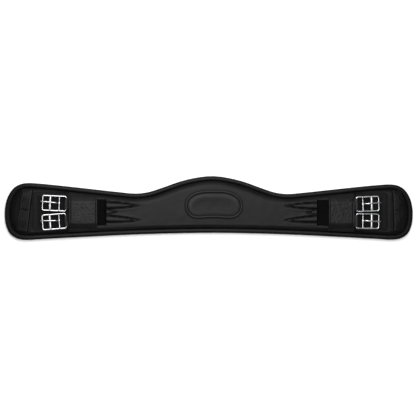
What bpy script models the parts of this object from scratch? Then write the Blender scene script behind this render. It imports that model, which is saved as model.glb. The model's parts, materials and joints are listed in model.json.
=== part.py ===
"""Short anatomic saddle girth with a pair of roller buckles on elastic at each end.

Metres, +Z up. The girth lies flat on its horse side. X runs along its length, +Y is the front edge
with the bulge at the middle, and the outer face with the buckles is up. The origin is on the resting
face, in the middle of the girth's length and width.
"""

import math

import bmesh
import bpy
from mathutils import Matrix, Vector

MM = 0.001
GAP = 0.3 * MM  # left between pieces that touch

# Half of the girth's outline from above, in mm, from the middle of the front edge round the end to
# the middle of the rear edge. The other half is its mirror image.
HALF_OUTLINE_MM = [
    (0, 62.6), (25, 60.4), (60, 52.6), (98, 39.4), (125, 30.8), (150, 27.9), (180, 30.3),
    (240, 36.8), (300, 43.2), (340, 46.9), (358, 47.6), (371.4, 45.7), (385.5, 37.8), (397.1, 20.3),
    (402.1, 0.2), (402.7, -15.2), (400.6, -32.8), (392.7, -50.2), (378.5, -60.0), (362, -62.6),
    (330, -61.0), (250, -56.8), (160, -52.5), (80, -50.0), (0, -48.9),
]
OUTLINE_STEPS = 3  # chords between two outline points

# Layers of the pad, bottom to top
LINING_TOP = 2.0 * MM
BELLY_FOAM_TOP = 7.3 * MM
WEB_TOP = 8.8 * MM
FACE_FOAM_TOP = 12.1 * MM
COVER_TOP = 14.2 * MM
COVER_LEATHER = 1.8 * MM
BINDING_TOP = 10.3 * MM
BINDING_WIDTH = 9.6 * MM
BINDING_ROUNDING = 3.0 * MM
COVER_ROUNDING = 2.5 * MM
ON_COVER = COVER_TOP + GAP  # where pieces sewn onto the cover start
PANEL_LEATHER = 1.8 * MM
STRIP_LEATHER = 1.6 * MM

# The stitched pieces sit a little off the middle of the length, as sewn by hand
SEWN_SHIFT = 2.5 * MM

# Kidney-shaped patch on the bulge: half of its outline about its own middle, in mm
HALF_PATCH_MM = [
    (0, 22.6), (19, 22.5), (34.5, 18.8), (42, 14.9), (48.4, 9), (51.5, 0), (51.2, -7), (48.9, -13),
    (44.5, -18.4), (37.5, -21.4), (27, -22.2), (14, -20.9), (0, -20.7),
]
PATCH_Y = 6.6 * MM
PIPING_WIDTH = 5.0 * MM
PIPING_HEIGHT = 2.6 * MM

# Straps: two elastics side by side at each end, spread a little towards their buckles
STRAP_MIDDLE_Y = -8.8 * MM
BUCKLE_OFFSET_Y = 16.25 * MM  # of each strap bar's middle from the strap middle line
ANCHOR_OFFSET_Y = 13.0 * MM  # of each elastic's middle where it enters the cover
STRAP_BAR_X = 285.0 * MM
ENTRY_X = 208.0 * MM
ELASTIC_THICK = 1.8 * MM
ELASTIC_WIDTH = 24.0 * MM
ELASTIC_END_X = 190.0 * MM
ELASTIC_DIVE = (211.0 * MM, 204.0 * MM)  # it slopes down through the cover between these
SLIT_X = (205.1 * MM, 211.4 * MM)
POCKET_END_X = 148.0 * MM
ANCHOR_TIP_X = 150.0 * MM
ANCHOR_TAPER_START = 12.0 * MM  # from its sewn end
ANCHOR_TIP_WIDTH = 4.0 * MM
TURN_SPACE = 1.0 * MM  # between ends that are turned a little from each other
CORE_WEB_HALF_LENGTH = 203.0 * MM
CORE_WEB_WIDTH = 50.0 * MM
CORE_WEB_THICK = 1.2 * MM

# Buckle, in its own frame: x points out to the end of the girth from the strap bar, z is up
BAR_HEIGHT = 20.1 * MM  # height of the buckle's bars over the resting face
WIRE_RADIUS = 1.6 * MM
SIDE_SPACING = 28.8 * MM  # between the middles of the two side wires
TONGUE_BAR_X = 13.0 * MM
ROLLER_BAR_X = 30.6 * MM
END_BAR_X = 45.0 * MM
CORNER_RADIUS = 3.0 * MM
ROLLER_RADIUS = 2.6 * MM
RUNNING_GAP = 0.2 * MM
ROLLER_LENGTH = 24.8 * MM
TONGUE_RADIUS = 1.25 * MM
KNUCKLE_RADIUS = 2.8 * MM
KNUCKLE_WIDTH = 4.4 * MM
# Tongue, from the tongue bar's middle: it leaves its knuckle at this angle, in degrees, and bends
# over these points, out and up in mm, before it lies on the roller and the end bar
TONGUE_START_ANGLE = 33
TONGUE_BEND_MM = [(5.2, 3.0), (9.5, 4.1)]
TONGUE_SUNK = 0.2 * MM  # depth of its root in the knuckle
TONGUE_SPRING = 0.15 * MM
TONGUE_OVERHANG = 3.2 * MM
TONGUE_DROOP = 0.6 * MM
# how far each buckle is turned away from the girth's length, in degrees
BUCKLE_YAW = {
    ("left", "front"): 2.5,
    ("left", "rear"): 4.5,
    ("right", "front"): 2.3,
    ("right", "rear"): 0.8,
}
CHAPE_RADIUS = 3.5 * MM
CHAPE_WIDTH = 23.2 * MM
CHAPE_TAIL = 10.3 * MM
CHAPE_WRAP = (-75, 200)  # degrees of the strap bar that its round part covers

# Leather sleeve over the elastics
SLEEVE_X = (227.5 * MM, 277.6 * MM)
SLEEVE_FLAT = 25.0 * MM
SLEEVE_SLOPE_END = 32.0 * MM
SLEEVE_FOOT_END = 34.0 * MM
SLEEVE_CLEAR = 4.7 * MM  # height of its passage over the cover

# Leather panel under the buckles
GUARD_X = (298.5 * MM, 345.5 * MM)
GUARD_Y = (-43.5 * MM, 30.5 * MM)
GUARD_CORNER = 3.0 * MM

# Loop that holds the saddle's straps down at each end: inner edge and slant, in degrees
KEEPER_EDGE_X = {"left": 352.0 * MM, "right": 359.5 * MM}
KEEPER_SLANT = {"left": 7.0, "right": 2.0}
KEEPER_WIDTH = 20.0 * MM
KEEPER_Y = -4.6 * MM
KEEPER_HALF_SPAN = 37.0 * MM
KEEPER_CLEAR = 5.0 * MM
KEEPER_SEAM = 2.0 * MM  # half width of what is sewn down in the middle
KEEPER_FOOT = 2.5 * MM  # width of what is sewn down at each end
KEEPER_RISE = 2.0 * MM

SIDES = {"left": -1, "right": 1}
ROWS = {"front": 1, "rear": -1}


def clear_scene():
    """Remove every object of the open scene."""
    for thing in list(bpy.data.objects):
        bpy.data.objects.remove(thing)


def new_collection(name):
    """Make a collection in the scene."""
    group = bpy.data.collections.new(name)
    bpy.context.scene.collection.children.link(group)
    return group


def finish(name, colour, roughness, metallic=0.0):
    """Make a plain Principled material."""
    material = bpy.data.materials.new(name)
    material.use_nodes = True
    shader = material.node_tree.nodes["Principled BSDF"]
    shader.inputs["Base Color"].default_value = (*colour, 1.0)
    shader.inputs["Roughness"].default_value = roughness
    shader.inputs["Metallic"].default_value = metallic
    return material


def smooth_loop(points, steps):
    """Return a closed centripetal Catmull-Rom curve through the points."""
    count = len(points)
    loop = []
    for index in range(count):
        four = [Vector(points[(index + k - 1) % count]) for k in range(4)]
        knots = [0.0]
        for k in range(3):
            knots.append(knots[-1] + math.sqrt((four[k + 1] - four[k]).length))
        for step in range(steps):
            at = knots[1] + (knots[2] - knots[1]) * step / steps
            row = four
            for order in (1, 2, 3):
                row = [
                    mix_points(row[k], row[k + 1], at, *knot_span(knots, k, order))
                    for k in range(len(row) - 1)
                ]
            loop.append(row[0])
    return loop


def knot_span(knots, k, order):
    """Return the knots that the k-th blend of this order runs between."""
    low, high = {1: (k, k + 1), 2: (k, k + 2), 3: (1, 2)}[order]
    return knots[low], knots[high]


def mix_points(start, end, at, low, high):
    """Blend from start to end as at goes from low to high."""
    share = (at - low) / (high - low)
    return start * (1 - share) + end * share


def mirrored(half_mm):
    """Complete half an outline, given in mm, with its mirror image, in metres."""
    other = [(-x, y) for x, y in half_mm[-2:0:-1]]
    return [Vector((x * MM, y * MM)) for x, y in half_mm + other]


def moved_inward(loop, distance):
    """Move each point of a clockwise loop inward along its normal."""
    count = len(loop)
    result = []
    for index in range(count):
        along = (loop[(index + 1) % count] - loop[index - 1]).normalized()
        result.append(loop[index] + Vector((along.y, -along.x)) * distance)
    return result


def girth_outline(inset):
    """Return the girth's outline moved in from the edge."""
    return moved_inward(smooth_loop(mirrored(HALF_OUTLINE_MM), OUTLINE_STEPS), inset)


def patch_outline(outset):
    """Return the patch's outline moved out from its edge."""
    loop = moved_inward(smooth_loop(mirrored(HALF_PATCH_MM), OUTLINE_STEPS), -outset)
    return [point + Vector((SEWN_SHIFT, PATCH_Y)) for point in loop]


def flat_plate(name, loops, thickness, rounding=0.0):
    """Make a plate about z = 0 from outlines; the first may hold holes given by the rest."""
    curve = bpy.data.curves.new(name, "CURVE")
    curve.dimensions = "2D"
    curve.fill_mode = "BOTH"
    curve.extrude = thickness / 2 - rounding
    curve.bevel_depth = rounding
    curve.bevel_resolution = 0
    for loop in loops:
        spline = curve.splines.new("POLY")
        spline.points.add(len(loop) - 1)
        for point, place in zip(spline.points, loop):
            point.co = (place[0], place[1], 0.0, 1.0)
        spline.use_cyclic_u = True
    return bpy.data.objects.new(name, curve)


def tube(name, path, radius, closed=False):
    """Make a round wire along a path."""
    curve = bpy.data.curves.new(name, "CURVE")
    curve.dimensions = "3D"
    curve.bevel_depth = radius
    curve.bevel_resolution = 2
    curve.use_fill_caps = not closed
    spline = curve.splines.new("POLY")
    spline.points.add(len(path) - 1)
    for point, place in zip(spline.points, path):
        point.co = (*place, 1.0)
    spline.use_cyclic_u = closed
    return bpy.data.objects.new(name, curve)


def box(name, low, high):
    """Make a box between two corners."""
    mesh = bpy.data.meshes.new(name)
    shape = bmesh.new()
    bmesh.ops.create_cube(shape, size=1.0)
    size = Vector(high) - Vector(low)
    middle = (Vector(high) + Vector(low)) / 2
    bmesh.ops.scale(shape, vec=size, verts=shape.verts)
    bmesh.ops.translate(shape, vec=middle, verts=shape.verts)
    shape.to_mesh(mesh)
    shape.free()
    return bpy.data.objects.new(name, mesh)


def cross_bar(name, x, radius, length):
    """Make a round bar along Y at this x."""
    mesh = bpy.data.meshes.new(name)
    shape = bmesh.new()
    turn = Matrix.Rotation(math.pi / 2, 4, "X")
    bmesh.ops.create_cone(
        shape,
        cap_ends=True,
        segments=12,
        radius1=radius,
        radius2=radius,
        depth=length,
        matrix=Matrix.Translation((x, 0, 0)) @ turn,
    )
    shape.to_mesh(mesh)
    shape.free()
    return bpy.data.objects.new(name, mesh)


def turned_ring(name, outer, inner, width, sides):
    """Make a ring about its own Y axis by turning its section with a Screw."""
    mesh = bpy.data.meshes.new(name)
    half = width / 2
    section = [(outer, 0, half), (outer, 0, -half), (inner, 0, -half), (inner, 0, half)]
    mesh.from_pydata(section, [(0, 1), (1, 2), (2, 3), (3, 0)], [])
    ring = bpy.data.objects.new(name, mesh)
    screw = ring.modifiers.new("turn", "SCREW")
    screw.axis = "Z"
    screw.steps = sides
    screw.render_steps = sides
    screw.use_merge_vertices = True
    screw.merge_threshold = 0.00001
    ring.rotation_euler = (math.pi / 2, 0, 0)
    return ring


def as_mesh(thing):
    """Turn an object, with its curve and modifiers, into a mesh object in the same place."""
    bpy.context.scene.collection.objects.link(thing)
    depsgraph = bpy.context.evaluated_depsgraph_get()
    mesh = bpy.data.meshes.new_from_object(thing.evaluated_get(depsgraph))
    shape = bmesh.new()
    shape.from_mesh(mesh)
    bmesh.ops.remove_doubles(shape, verts=shape.verts, dist=0.00001)
    bmesh.ops.recalc_face_normals(shape, faces=shape.faces)
    shape.to_mesh(mesh)
    shape.free()
    result = bpy.data.objects.new(thing.name, mesh)
    result.matrix_world = thing.matrix_world
    name = thing.name
    bpy.data.objects.remove(thing)
    result.name = name
    return result


def combine(thing, other, operation, cutters):
    """Join another object to a mesh object, or cut it away, with a Boolean modifier."""
    cutters.objects.link(other)
    other.hide_render = True
    other.display_type = "WIRE"
    boolean = thing.modifiers.new(operation.lower(), "BOOLEAN")
    boolean.operation = operation
    boolean.object = other
    return thing


def place(thing, group, material, parent=None, smooth=False):
    """Put a finished piece in the girth's collection with its material."""
    group.objects.link(thing)
    thing.data.materials.clear()
    thing.data.materials.append(material)
    if parent is not None:
        thing.parent = parent
    if smooth and thing.type == "MESH":
        thing.data.shade_smooth()
        thing.data.set_sharp_from_angle(angle=math.radians(40))
    return thing


def layer(name, loops, low, high, rounding=0.0):
    """Make a flat piece of the pad between two heights."""
    plate = flat_plate(name, loops, high - low, rounding)
    plate.location.z = (low + high) / 2
    return plate


def ribbon(path, thickness):
    """Return the outline of a strip that follows a path, by moving the path to both sides."""
    near, far = [], []
    for index, here in enumerate(path):
        before = path[max(index - 1, 0)]
        after = path[min(index + 1, len(path) - 1)]
        normals = []
        for start, end in ((before, here), (here, after)):
            along = Vector(end) - Vector(start)
            if along.length > 0:
                normals.append(Vector((-along.y, along.x)).normalized())
        mean = sum(normals, Vector((0, 0))).normalized()
        reach = thickness / 2 / mean.dot(normals[0])
        near.append(Vector(here) + mean * reach)
        far.append(Vector(here) - mean * reach)
    return near + far[::-1]


def upright(name, outline, width):
    """Make a strip whose outline stands in the XZ plane, as wide as given along Y."""
    plate = flat_plate(name, [outline], width)
    plate.rotation_euler = (math.pi / 2, 0, 0)
    return plate


def pad(group, cutters, looks):
    """Build the pad's layers, its binding and the web that carries the pull between the straps."""
    leather, foam, webbing = looks["leather"], looks["foam"], looks["webbing"]
    place(layer("lining_cover", [girth_outline(0)], 0, LINING_TOP), group, leather)
    inside = BINDING_WIDTH + GAP
    belly = layer("belly_foam", [girth_outline(inside)], LINING_TOP + GAP, BELLY_FOAM_TOP)
    place(belly, group, foam)

    binding = as_mesh(
        layer(
            "edge_binding",
            [girth_outline(BINDING_ROUNDING)],
            LINING_TOP + GAP,
            BINDING_TOP,
            BINDING_ROUNDING,
        )
    )
    middle = as_mesh(layer("binding_middle", [girth_outline(BINDING_WIDTH)], 0, COVER_TOP))
    place(combine(binding, middle, "DIFFERENCE", cutters), group, leather)

    web = box(
        "core_web",
        (-CORE_WEB_HALF_LENGTH, STRAP_MIDDLE_Y - CORE_WEB_WIDTH / 2, WEB_TOP - CORE_WEB_THICK),
        (CORE_WEB_HALF_LENGTH, STRAP_MIDDLE_Y + CORE_WEB_WIDTH / 2, WEB_TOP),
    )
    place(web, group, webbing)
    face_foam(group, cutters, foam)
    outer_cover(group, cutters, leather)


def face_foam(group, cutters, foam):
    """Build the foam under the outer cover, with room for the web and the strap ends."""
    inset = BINDING_WIDTH + GAP + COVER_LEATHER + GAP
    sheet = as_mesh(
        layer("face_foam", [girth_outline(inset)], BELLY_FOAM_TOP + GAP, FACE_FOAM_TOP)
    )
    half_web = CORE_WEB_WIDTH / 2 + GAP
    channel = box(
        "web_channel",
        (-CORE_WEB_HALF_LENGTH - GAP, STRAP_MIDDLE_Y - half_web, 0),
        (CORE_WEB_HALF_LENGTH + GAP, STRAP_MIDDLE_Y + half_web, WEB_TOP + GAP),
    )
    combine(sheet, channel, "DIFFERENCE", cutters)
    half_pocket = ANCHOR_OFFSET_Y + ELASTIC_WIDTH / 2 + 2 * GAP
    for side, sign in SIDES.items():
        ends = sorted((sign * POCKET_END_X, sign * SLIT_X[1]))
        pocket = box(
            f"{side}_strap_pocket",
            (ends[0], STRAP_MIDDLE_Y - half_pocket, 0),
            (ends[1], STRAP_MIDDLE_Y + half_pocket, COVER_TOP),
        )
        combine(sheet, pocket, "DIFFERENCE", cutters)
    place(sheet, group, foam)


def outer_cover(group, cutters, leather):
    """Build the outer leather: a tray over the foam, slit where the elastics go in."""
    inset = BINDING_WIDTH + GAP
    base = BELLY_FOAM_TOP + GAP
    cover = as_mesh(
        layer(
            "outer_cover",
            [girth_outline(inset + COVER_ROUNDING)],
            base - COVER_ROUNDING - GAP,
            COVER_TOP,
            COVER_ROUNDING,
        )
    )
    below = as_mesh(layer("below_cover", [girth_outline(0)], -LINING_TOP, base))
    combine(cover, below, "DIFFERENCE", cutters)
    hollow = as_mesh(
        layer("foam_room", [girth_outline(inset + COVER_LEATHER)], 0, FACE_FOAM_TOP + GAP)
    )
    combine(cover, hollow, "DIFFERENCE", cutters)
    half_slit = ANCHOR_OFFSET_Y + ELASTIC_WIDTH / 2 + 2 * GAP
    for side, sign in SIDES.items():
        ends = sorted(sign * x for x in SLIT_X)
        slit = box(
            f"{side}_slit",
            (ends[0], STRAP_MIDDLE_Y - half_slit, FACE_FOAM_TOP),
            (ends[1], STRAP_MIDDLE_Y + half_slit, COVER_TOP + MM),
        )
        combine(cover, slit, "DIFFERENCE", cutters)
    place(cover, group, leather)


def patch(group, leather):
    """Build the kidney-shaped patch and the piping round it."""
    low = ON_COVER
    place(layer("center_patch", [patch_outline(0)], low, low + PANEL_LEATHER), group, leather)
    rounding = 0.8 * MM
    ring = layer(
        "center_patch_piping",
        [patch_outline(PIPING_WIDTH - rounding), patch_outline(GAP + rounding)],
        low,
        low + PIPING_HEIGHT,
        rounding,
    )
    place(ring, group, leather)


def guard(side, group, leather):
    """Build the leather panel that keeps the buckles off the cover."""
    sign = SIDES[side]
    edges = sorted(sign * x for x in GUARD_X)
    loop = rounded_rectangle(edges[0], edges[1], GUARD_Y[0], GUARD_Y[1], GUARD_CORNER)
    place(
        layer(f"{side}_buckle_guard", [loop], ON_COVER, ON_COVER + PANEL_LEATHER),
        group,
        leather,
    )


def rounded_rectangle(left, right, bottom, top, radius):
    """Return a clockwise rectangle with arcs for corners, starting at the top left."""
    corners = [
        (left + radius, top - radius, 180),
        (right - radius, top - radius, 90),
        (right - radius, bottom + radius, 0),
        (left + radius, bottom + radius, -90),
    ]
    loop = []
    arc_steps = 3
    for x, y, start in corners:
        for step in range(arc_steps + 1):
            angle = math.radians(start - 90 * step / arc_steps)
            loop.append(Vector((x + radius * math.cos(angle), y + radius * math.sin(angle))))
    return loop


def cross_strip(name, half_path, width):
    """Make a strip that arches over the girth's width, from half of its path in Y and Z."""
    path = [(-y, z) for y, z in half_path[::-1]] + half_path[1:]
    strip = flat_plate(name, [ribbon(path, STRIP_LEATHER)], width)
    strip.rotation_euler = (math.pi / 2, 0, math.pi / 2)
    return strip


def sleeve(side, group, leather):
    """Build the leather sleeve that lies over both elastics."""
    sign = SIDES[side]
    foot = STRIP_LEATHER / 2
    top = SLEEVE_CLEAR + STRIP_LEATHER / 2
    half_path = [
        (0, top),
        (SLEEVE_FLAT, top),
        (SLEEVE_SLOPE_END, foot),
        (SLEEVE_FOOT_END, foot),
    ]
    strip = cross_strip(f"{side}_sleeve", half_path, SLEEVE_X[1] - SLEEVE_X[0])
    strip.location = (sign * sum(SLEEVE_X) / 2 + SEWN_SHIFT, STRAP_MIDDLE_Y, ON_COVER)
    place(strip, group, leather)


def end_keeper(side, group, leather):
    """Build the soft loop, sewn down in the middle, that the saddle's straps pass under."""
    sign = SIDES[side]
    foot = STRIP_LEATHER / 2
    top = KEEPER_CLEAR + STRIP_LEATHER / 2
    half_path = [
        (0, foot),
        (KEEPER_SEAM, foot),
        (KEEPER_SEAM + KEEPER_RISE, top),
        (KEEPER_HALF_SPAN - KEEPER_FOOT - KEEPER_RISE, top),
        (KEEPER_HALF_SPAN - KEEPER_FOOT, foot),
        (KEEPER_HALF_SPAN, foot),
    ]
    strip = cross_strip(f"{side}_end_keeper", half_path, KEEPER_WIDTH)
    x = sign * (KEEPER_EDGE_X[side] + KEEPER_WIDTH / 2)
    strip.location = (x, KEEPER_Y, ON_COVER)
    strip.rotation_euler.z += sign * math.radians(KEEPER_SLANT[side])
    place(strip, group, leather)


def heading(side, row, fan):
    """Return the direction from the middle to the end of the girth, turned outward by fan."""
    straight = 0.0 if SIDES[side] > 0 else math.pi
    return straight + SIDES[side] * ROWS[row] * fan


def strap_bar_middle(side, row):
    """Return where the middle of a buckle's strap bar is."""
    y = STRAP_MIDDLE_Y + ROWS[row] * BUCKLE_OFFSET_Y
    return Vector((SIDES[side] * STRAP_BAR_X, y, BAR_HEIGHT))


def elastic(side, row, group, webbing):
    """Build one elastic, from the chape's tail down through the cover to the core web."""
    fan = math.atan2(BUCKLE_OFFSET_Y - ANCHOR_OFFSET_Y, STRAP_BAR_X - ENTRY_X)
    high = ON_COVER + ELASTIC_THICK / 2
    low = WEB_TOP + GAP + ELASTIC_THICK / 2
    path = [
        (-CHAPE_TAIL - TURN_SPACE, high),
        (ELASTIC_DIVE[0] - STRAP_BAR_X, high),
        (ELASTIC_DIVE[1] - STRAP_BAR_X, low),
        (ELASTIC_END_X - STRAP_BAR_X, low),
    ]
    strip = upright(f"{side}_{row}_elastic", ribbon(path, ELASTIC_THICK), ELASTIC_WIDTH)
    middle = strap_bar_middle(side, row)
    strip.location = (middle.x, middle.y, 0)
    strip.rotation_euler.z = heading(side, row, fan)
    place(strip, group, webbing)


def anchor(side, row, group, webbing):
    """Build the pointed tab that the elastic's inner end is sewn against, under the cover."""
    sign = SIDES[side]
    base = ELASTIC_END_X - TURN_SPACE
    shoulder = base - ANCHOR_TAPER_START
    half = ELASTIC_WIDTH / 2 - MM
    tip_half = ANCHOR_TIP_WIDTH / 2
    y = STRAP_MIDDLE_Y + ROWS[row] * ANCHOR_OFFSET_Y
    loop = [
        Vector((sign * base, y + half)),
        Vector((sign * shoulder, y + half)),
        Vector((sign * ANCHOR_TIP_X, y + tip_half)),
        Vector((sign * ANCHOR_TIP_X, y - tip_half)),
        Vector((sign * shoulder, y - half)),
        Vector((sign * base, y - half)),
    ]
    low = WEB_TOP + GAP
    tab = layer(f"{side}_{row}_anchor", [loop], low, low + ELASTIC_THICK)
    place(tab, group, webbing)


def chape_outline():
    """Return the outline of the chape: a loop round the strap bar that narrows to its tail."""
    outer = []
    arc_steps = 12
    for step in range(arc_steps + 1):
        turn = CHAPE_WRAP[0] + (CHAPE_WRAP[1] - CHAPE_WRAP[0]) * step / arc_steps
        angle = math.radians(turn)
        outer.append(Vector((math.cos(angle), math.sin(angle))) * CHAPE_RADIUS)
    bottom = ON_COVER - BAR_HEIGHT
    tail = [
        Vector((-CHAPE_TAIL / 2, bottom + ELASTIC_THICK)),
        Vector((-CHAPE_TAIL, bottom + ELASTIC_THICK)),
        Vector((-CHAPE_TAIL, bottom)),
        Vector((-CHAPE_TAIL / 2, bottom)),
    ]
    return outer + tail


def chape(side, row, group, parent, leather):
    """Build the leather loop that holds the buckle's strap bar on the elastic."""
    hole_radius = WIRE_RADIUS + GAP
    hole_sides = 16
    hole = [
        Vector((math.cos(turn), -math.sin(turn))) * hole_radius
        for turn in (2 * math.pi * k / hole_sides for k in range(hole_sides))
    ]
    loop = flat_plate(f"{side}_{row}_chape", [chape_outline(), hole], CHAPE_WIDTH)
    loop.rotation_euler = (math.pi / 2, 0, 0)
    place(loop, group, leather, parent=parent)


def buckle_frame(side, row, group, cutters, parent, steel):
    """Build the frame: one bent wire with a tongue bar and a roller bar welded across it."""
    half = SIDE_SPACING / 2
    loop = rounded_rectangle(0, END_BAR_X, -half, half, CORNER_RADIUS)
    path = [(point.x, point.y, 0) for point in loop]
    name = f"{side}_{row}_buckle_frame"
    frame = as_mesh(tube(name, path, WIRE_RADIUS, closed=True))
    for bar, x in (("tongue_bar", TONGUE_BAR_X), ("roller_bar", ROLLER_BAR_X)):
        welded = cross_bar(f"{side}_{row}_{bar}", x, WIRE_RADIUS, SIDE_SPACING)
        welded.parent = parent
        combine(frame, welded, "UNION", cutters)
    place(frame, group, steel, parent=parent, smooth=True)


def roller(side, row, group, parent, steel):
    """Build the roller that turns on the roller bar."""
    inner = WIRE_RADIUS + RUNNING_GAP
    ring = turned_ring(f"{side}_{row}_roller", ROLLER_RADIUS, inner, ROLLER_LENGTH, 20)
    ring.location.x = ROLLER_BAR_X
    place(ring, group, steel, parent=parent, smooth=True)


def tongue_path():
    """Return the tongue's line about the tongue bar: up, over the roller, onto the end bar."""
    start_angle = math.radians(TONGUE_START_ANGLE)
    start_reach = KNUCKLE_RADIUS - TONGUE_SUNK
    start = (start_reach * math.cos(start_angle), start_reach * math.sin(start_angle))
    roller_x = ROLLER_BAR_X - TONGUE_BAR_X
    end_x = END_BAR_X - TONGUE_BAR_X
    over_roller = ROLLER_RADIUS + TONGUE_RADIUS + GAP + TONGUE_SPRING
    over_end_bar = WIRE_RADIUS + TONGUE_RADIUS + GAP
    half_straight = 3.0 * MM
    line = [start]
    line += [(out * MM, up * MM) for out, up in TONGUE_BEND_MM]
    line += [
        (roller_x - half_straight, over_roller),
        (roller_x + half_straight, over_roller),
        (end_x, over_end_bar + TONGUE_SPRING),
        (end_x + TONGUE_OVERHANG, over_end_bar - TONGUE_DROOP),
    ]
    return [(out, 0, up) for out, up in line]


def tongue(side, row, group, cutters, parent, steel):
    """Build the tongue: a wire with a knuckle that turns on the tongue bar."""
    name = f"{side}_{row}_tongue"
    wire = as_mesh(tube(name, tongue_path(), TONGUE_RADIUS))
    inner = WIRE_RADIUS + RUNNING_GAP
    ring = turned_ring(f"{name}_knuckle", KNUCKLE_RADIUS, inner, KNUCKLE_WIDTH, 16)
    knuckle = as_mesh(ring)
    knuckle.parent = wire
    combine(wire, knuckle, "UNION", cutters)
    wire.location.x = TONGUE_BAR_X
    place(wire, group, steel, parent=parent, smooth=True)


def strap(side, row, group, cutters, looks):
    """Build one strap: elastic, anchor, chape and the buckle on it."""
    elastic(side, row, group, looks["webbing"])
    anchor(side, row, group, looks["webbing"])
    pivot = bpy.data.objects.new(f"{side}_{row}_strap", None)
    group.objects.link(pivot)
    pivot.location = strap_bar_middle(side, row)
    pivot.rotation_euler.z = heading(side, row, math.radians(BUCKLE_YAW[side, row]))
    chape(side, row, group, pivot, looks["leather"])
    buckle_frame(side, row, group, cutters, pivot, looks["steel"])
    roller(side, row, group, pivot, looks["steel"])
    tongue(side, row, group, cutters, pivot, looks["steel"])


def main():
    """Build the whole girth."""
    clear_scene()
    group = new_collection("saddle_girth")
    cutters = new_collection("cutters")
    looks = {
        "leather": finish("black_leather", (0.012, 0.012, 0.013), 0.45),
        "foam": finish("foam", (0.55, 0.53, 0.48), 0.9),
        "webbing": finish("black_webbing", (0.01, 0.01, 0.01), 0.85),
        "steel": finish("stainless_steel", (0.62, 0.62, 0.63), 0.22, 1.0),
    }
    pad(group, cutters, looks)
    patch(group, looks["leather"])
    for side in SIDES:
        guard(side, group, looks["leather"])
        sleeve(side, group, looks["leather"])
        end_keeper(side, group, looks["leather"])
        for row in ROWS:
            strap(side, row, group, cutters, looks)


main()
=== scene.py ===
"""Looks of a short anatomic saddle girth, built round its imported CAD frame.

Metres, +Z up. X runs along the girth, +Y is the front edge with the bulge, and the outer face with
the buckles is up. Every soft piece is cut, shaped and dressed here; the steel is made anew in finer
wire. Sizes that the frame knows are read from it.
"""

import json
import logging
import math
from collections.abc import Callable
from dataclasses import dataclass
from enum import Enum

import bmesh
import bpy
import numpy as np
from mathutils import Matrix, Vector
from mathutils.geometry import delaunay_2d_cdt
from mathutils.kdtree import KDTree


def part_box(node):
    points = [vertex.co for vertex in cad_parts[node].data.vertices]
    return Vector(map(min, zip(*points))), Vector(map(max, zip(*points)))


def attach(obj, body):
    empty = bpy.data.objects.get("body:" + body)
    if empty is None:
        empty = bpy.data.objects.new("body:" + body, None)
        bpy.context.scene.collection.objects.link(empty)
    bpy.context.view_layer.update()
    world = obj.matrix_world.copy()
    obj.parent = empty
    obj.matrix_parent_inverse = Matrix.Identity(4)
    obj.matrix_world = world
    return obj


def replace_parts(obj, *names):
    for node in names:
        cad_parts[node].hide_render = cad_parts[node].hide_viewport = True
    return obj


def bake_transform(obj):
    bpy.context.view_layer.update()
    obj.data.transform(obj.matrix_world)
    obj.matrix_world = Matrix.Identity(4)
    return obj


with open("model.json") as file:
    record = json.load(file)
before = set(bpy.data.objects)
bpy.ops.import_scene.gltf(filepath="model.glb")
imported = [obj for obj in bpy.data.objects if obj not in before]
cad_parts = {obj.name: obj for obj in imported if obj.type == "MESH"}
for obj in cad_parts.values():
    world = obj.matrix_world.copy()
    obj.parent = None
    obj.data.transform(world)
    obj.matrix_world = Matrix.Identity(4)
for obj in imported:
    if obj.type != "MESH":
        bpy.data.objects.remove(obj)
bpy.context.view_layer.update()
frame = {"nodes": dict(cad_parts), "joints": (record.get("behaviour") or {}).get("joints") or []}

MM = 0.001
PAD_BODY = "girth_pad"
# Where the straps slope down through the slits, as distances from the girth's middle
STRAP_DIVE = (206.0 * MM, 213.0 * MM)
log = logging.getLogger("saddle_girth")

# A mesh's points, one a row, and its faces as indices of points
Shape = tuple[np.ndarray, list[tuple[int, ...]]]
# Height of a surface at x, y and the depth inside an outline
Surface = Callable[[np.ndarray, np.ndarray, np.ndarray], np.ndarray]


class Side(Enum):
    """Which end of the girth, as the sign of its X."""

    LEFT = -1
    RIGHT = 1

    @property
    def label(self) -> str:
        """Name of this end in the frame's nodes."""
        return self.name.lower()


class Row(Enum):
    """Which strap of a pair, as the sign of its Y."""

    FRONT = 1
    REAR = -1

    @property
    def label(self) -> str:
        """Name of this row in the frame's nodes."""
        return self.name.lower()


class Slot(Enum):
    """Material slots of the record."""

    LEATHER = "black_leather"
    FOAM = "foam"
    WEBBING = "black_webbing"
    STEEL = "stainless_steel"


# ---------------------------------------------------------------- finishes


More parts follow.
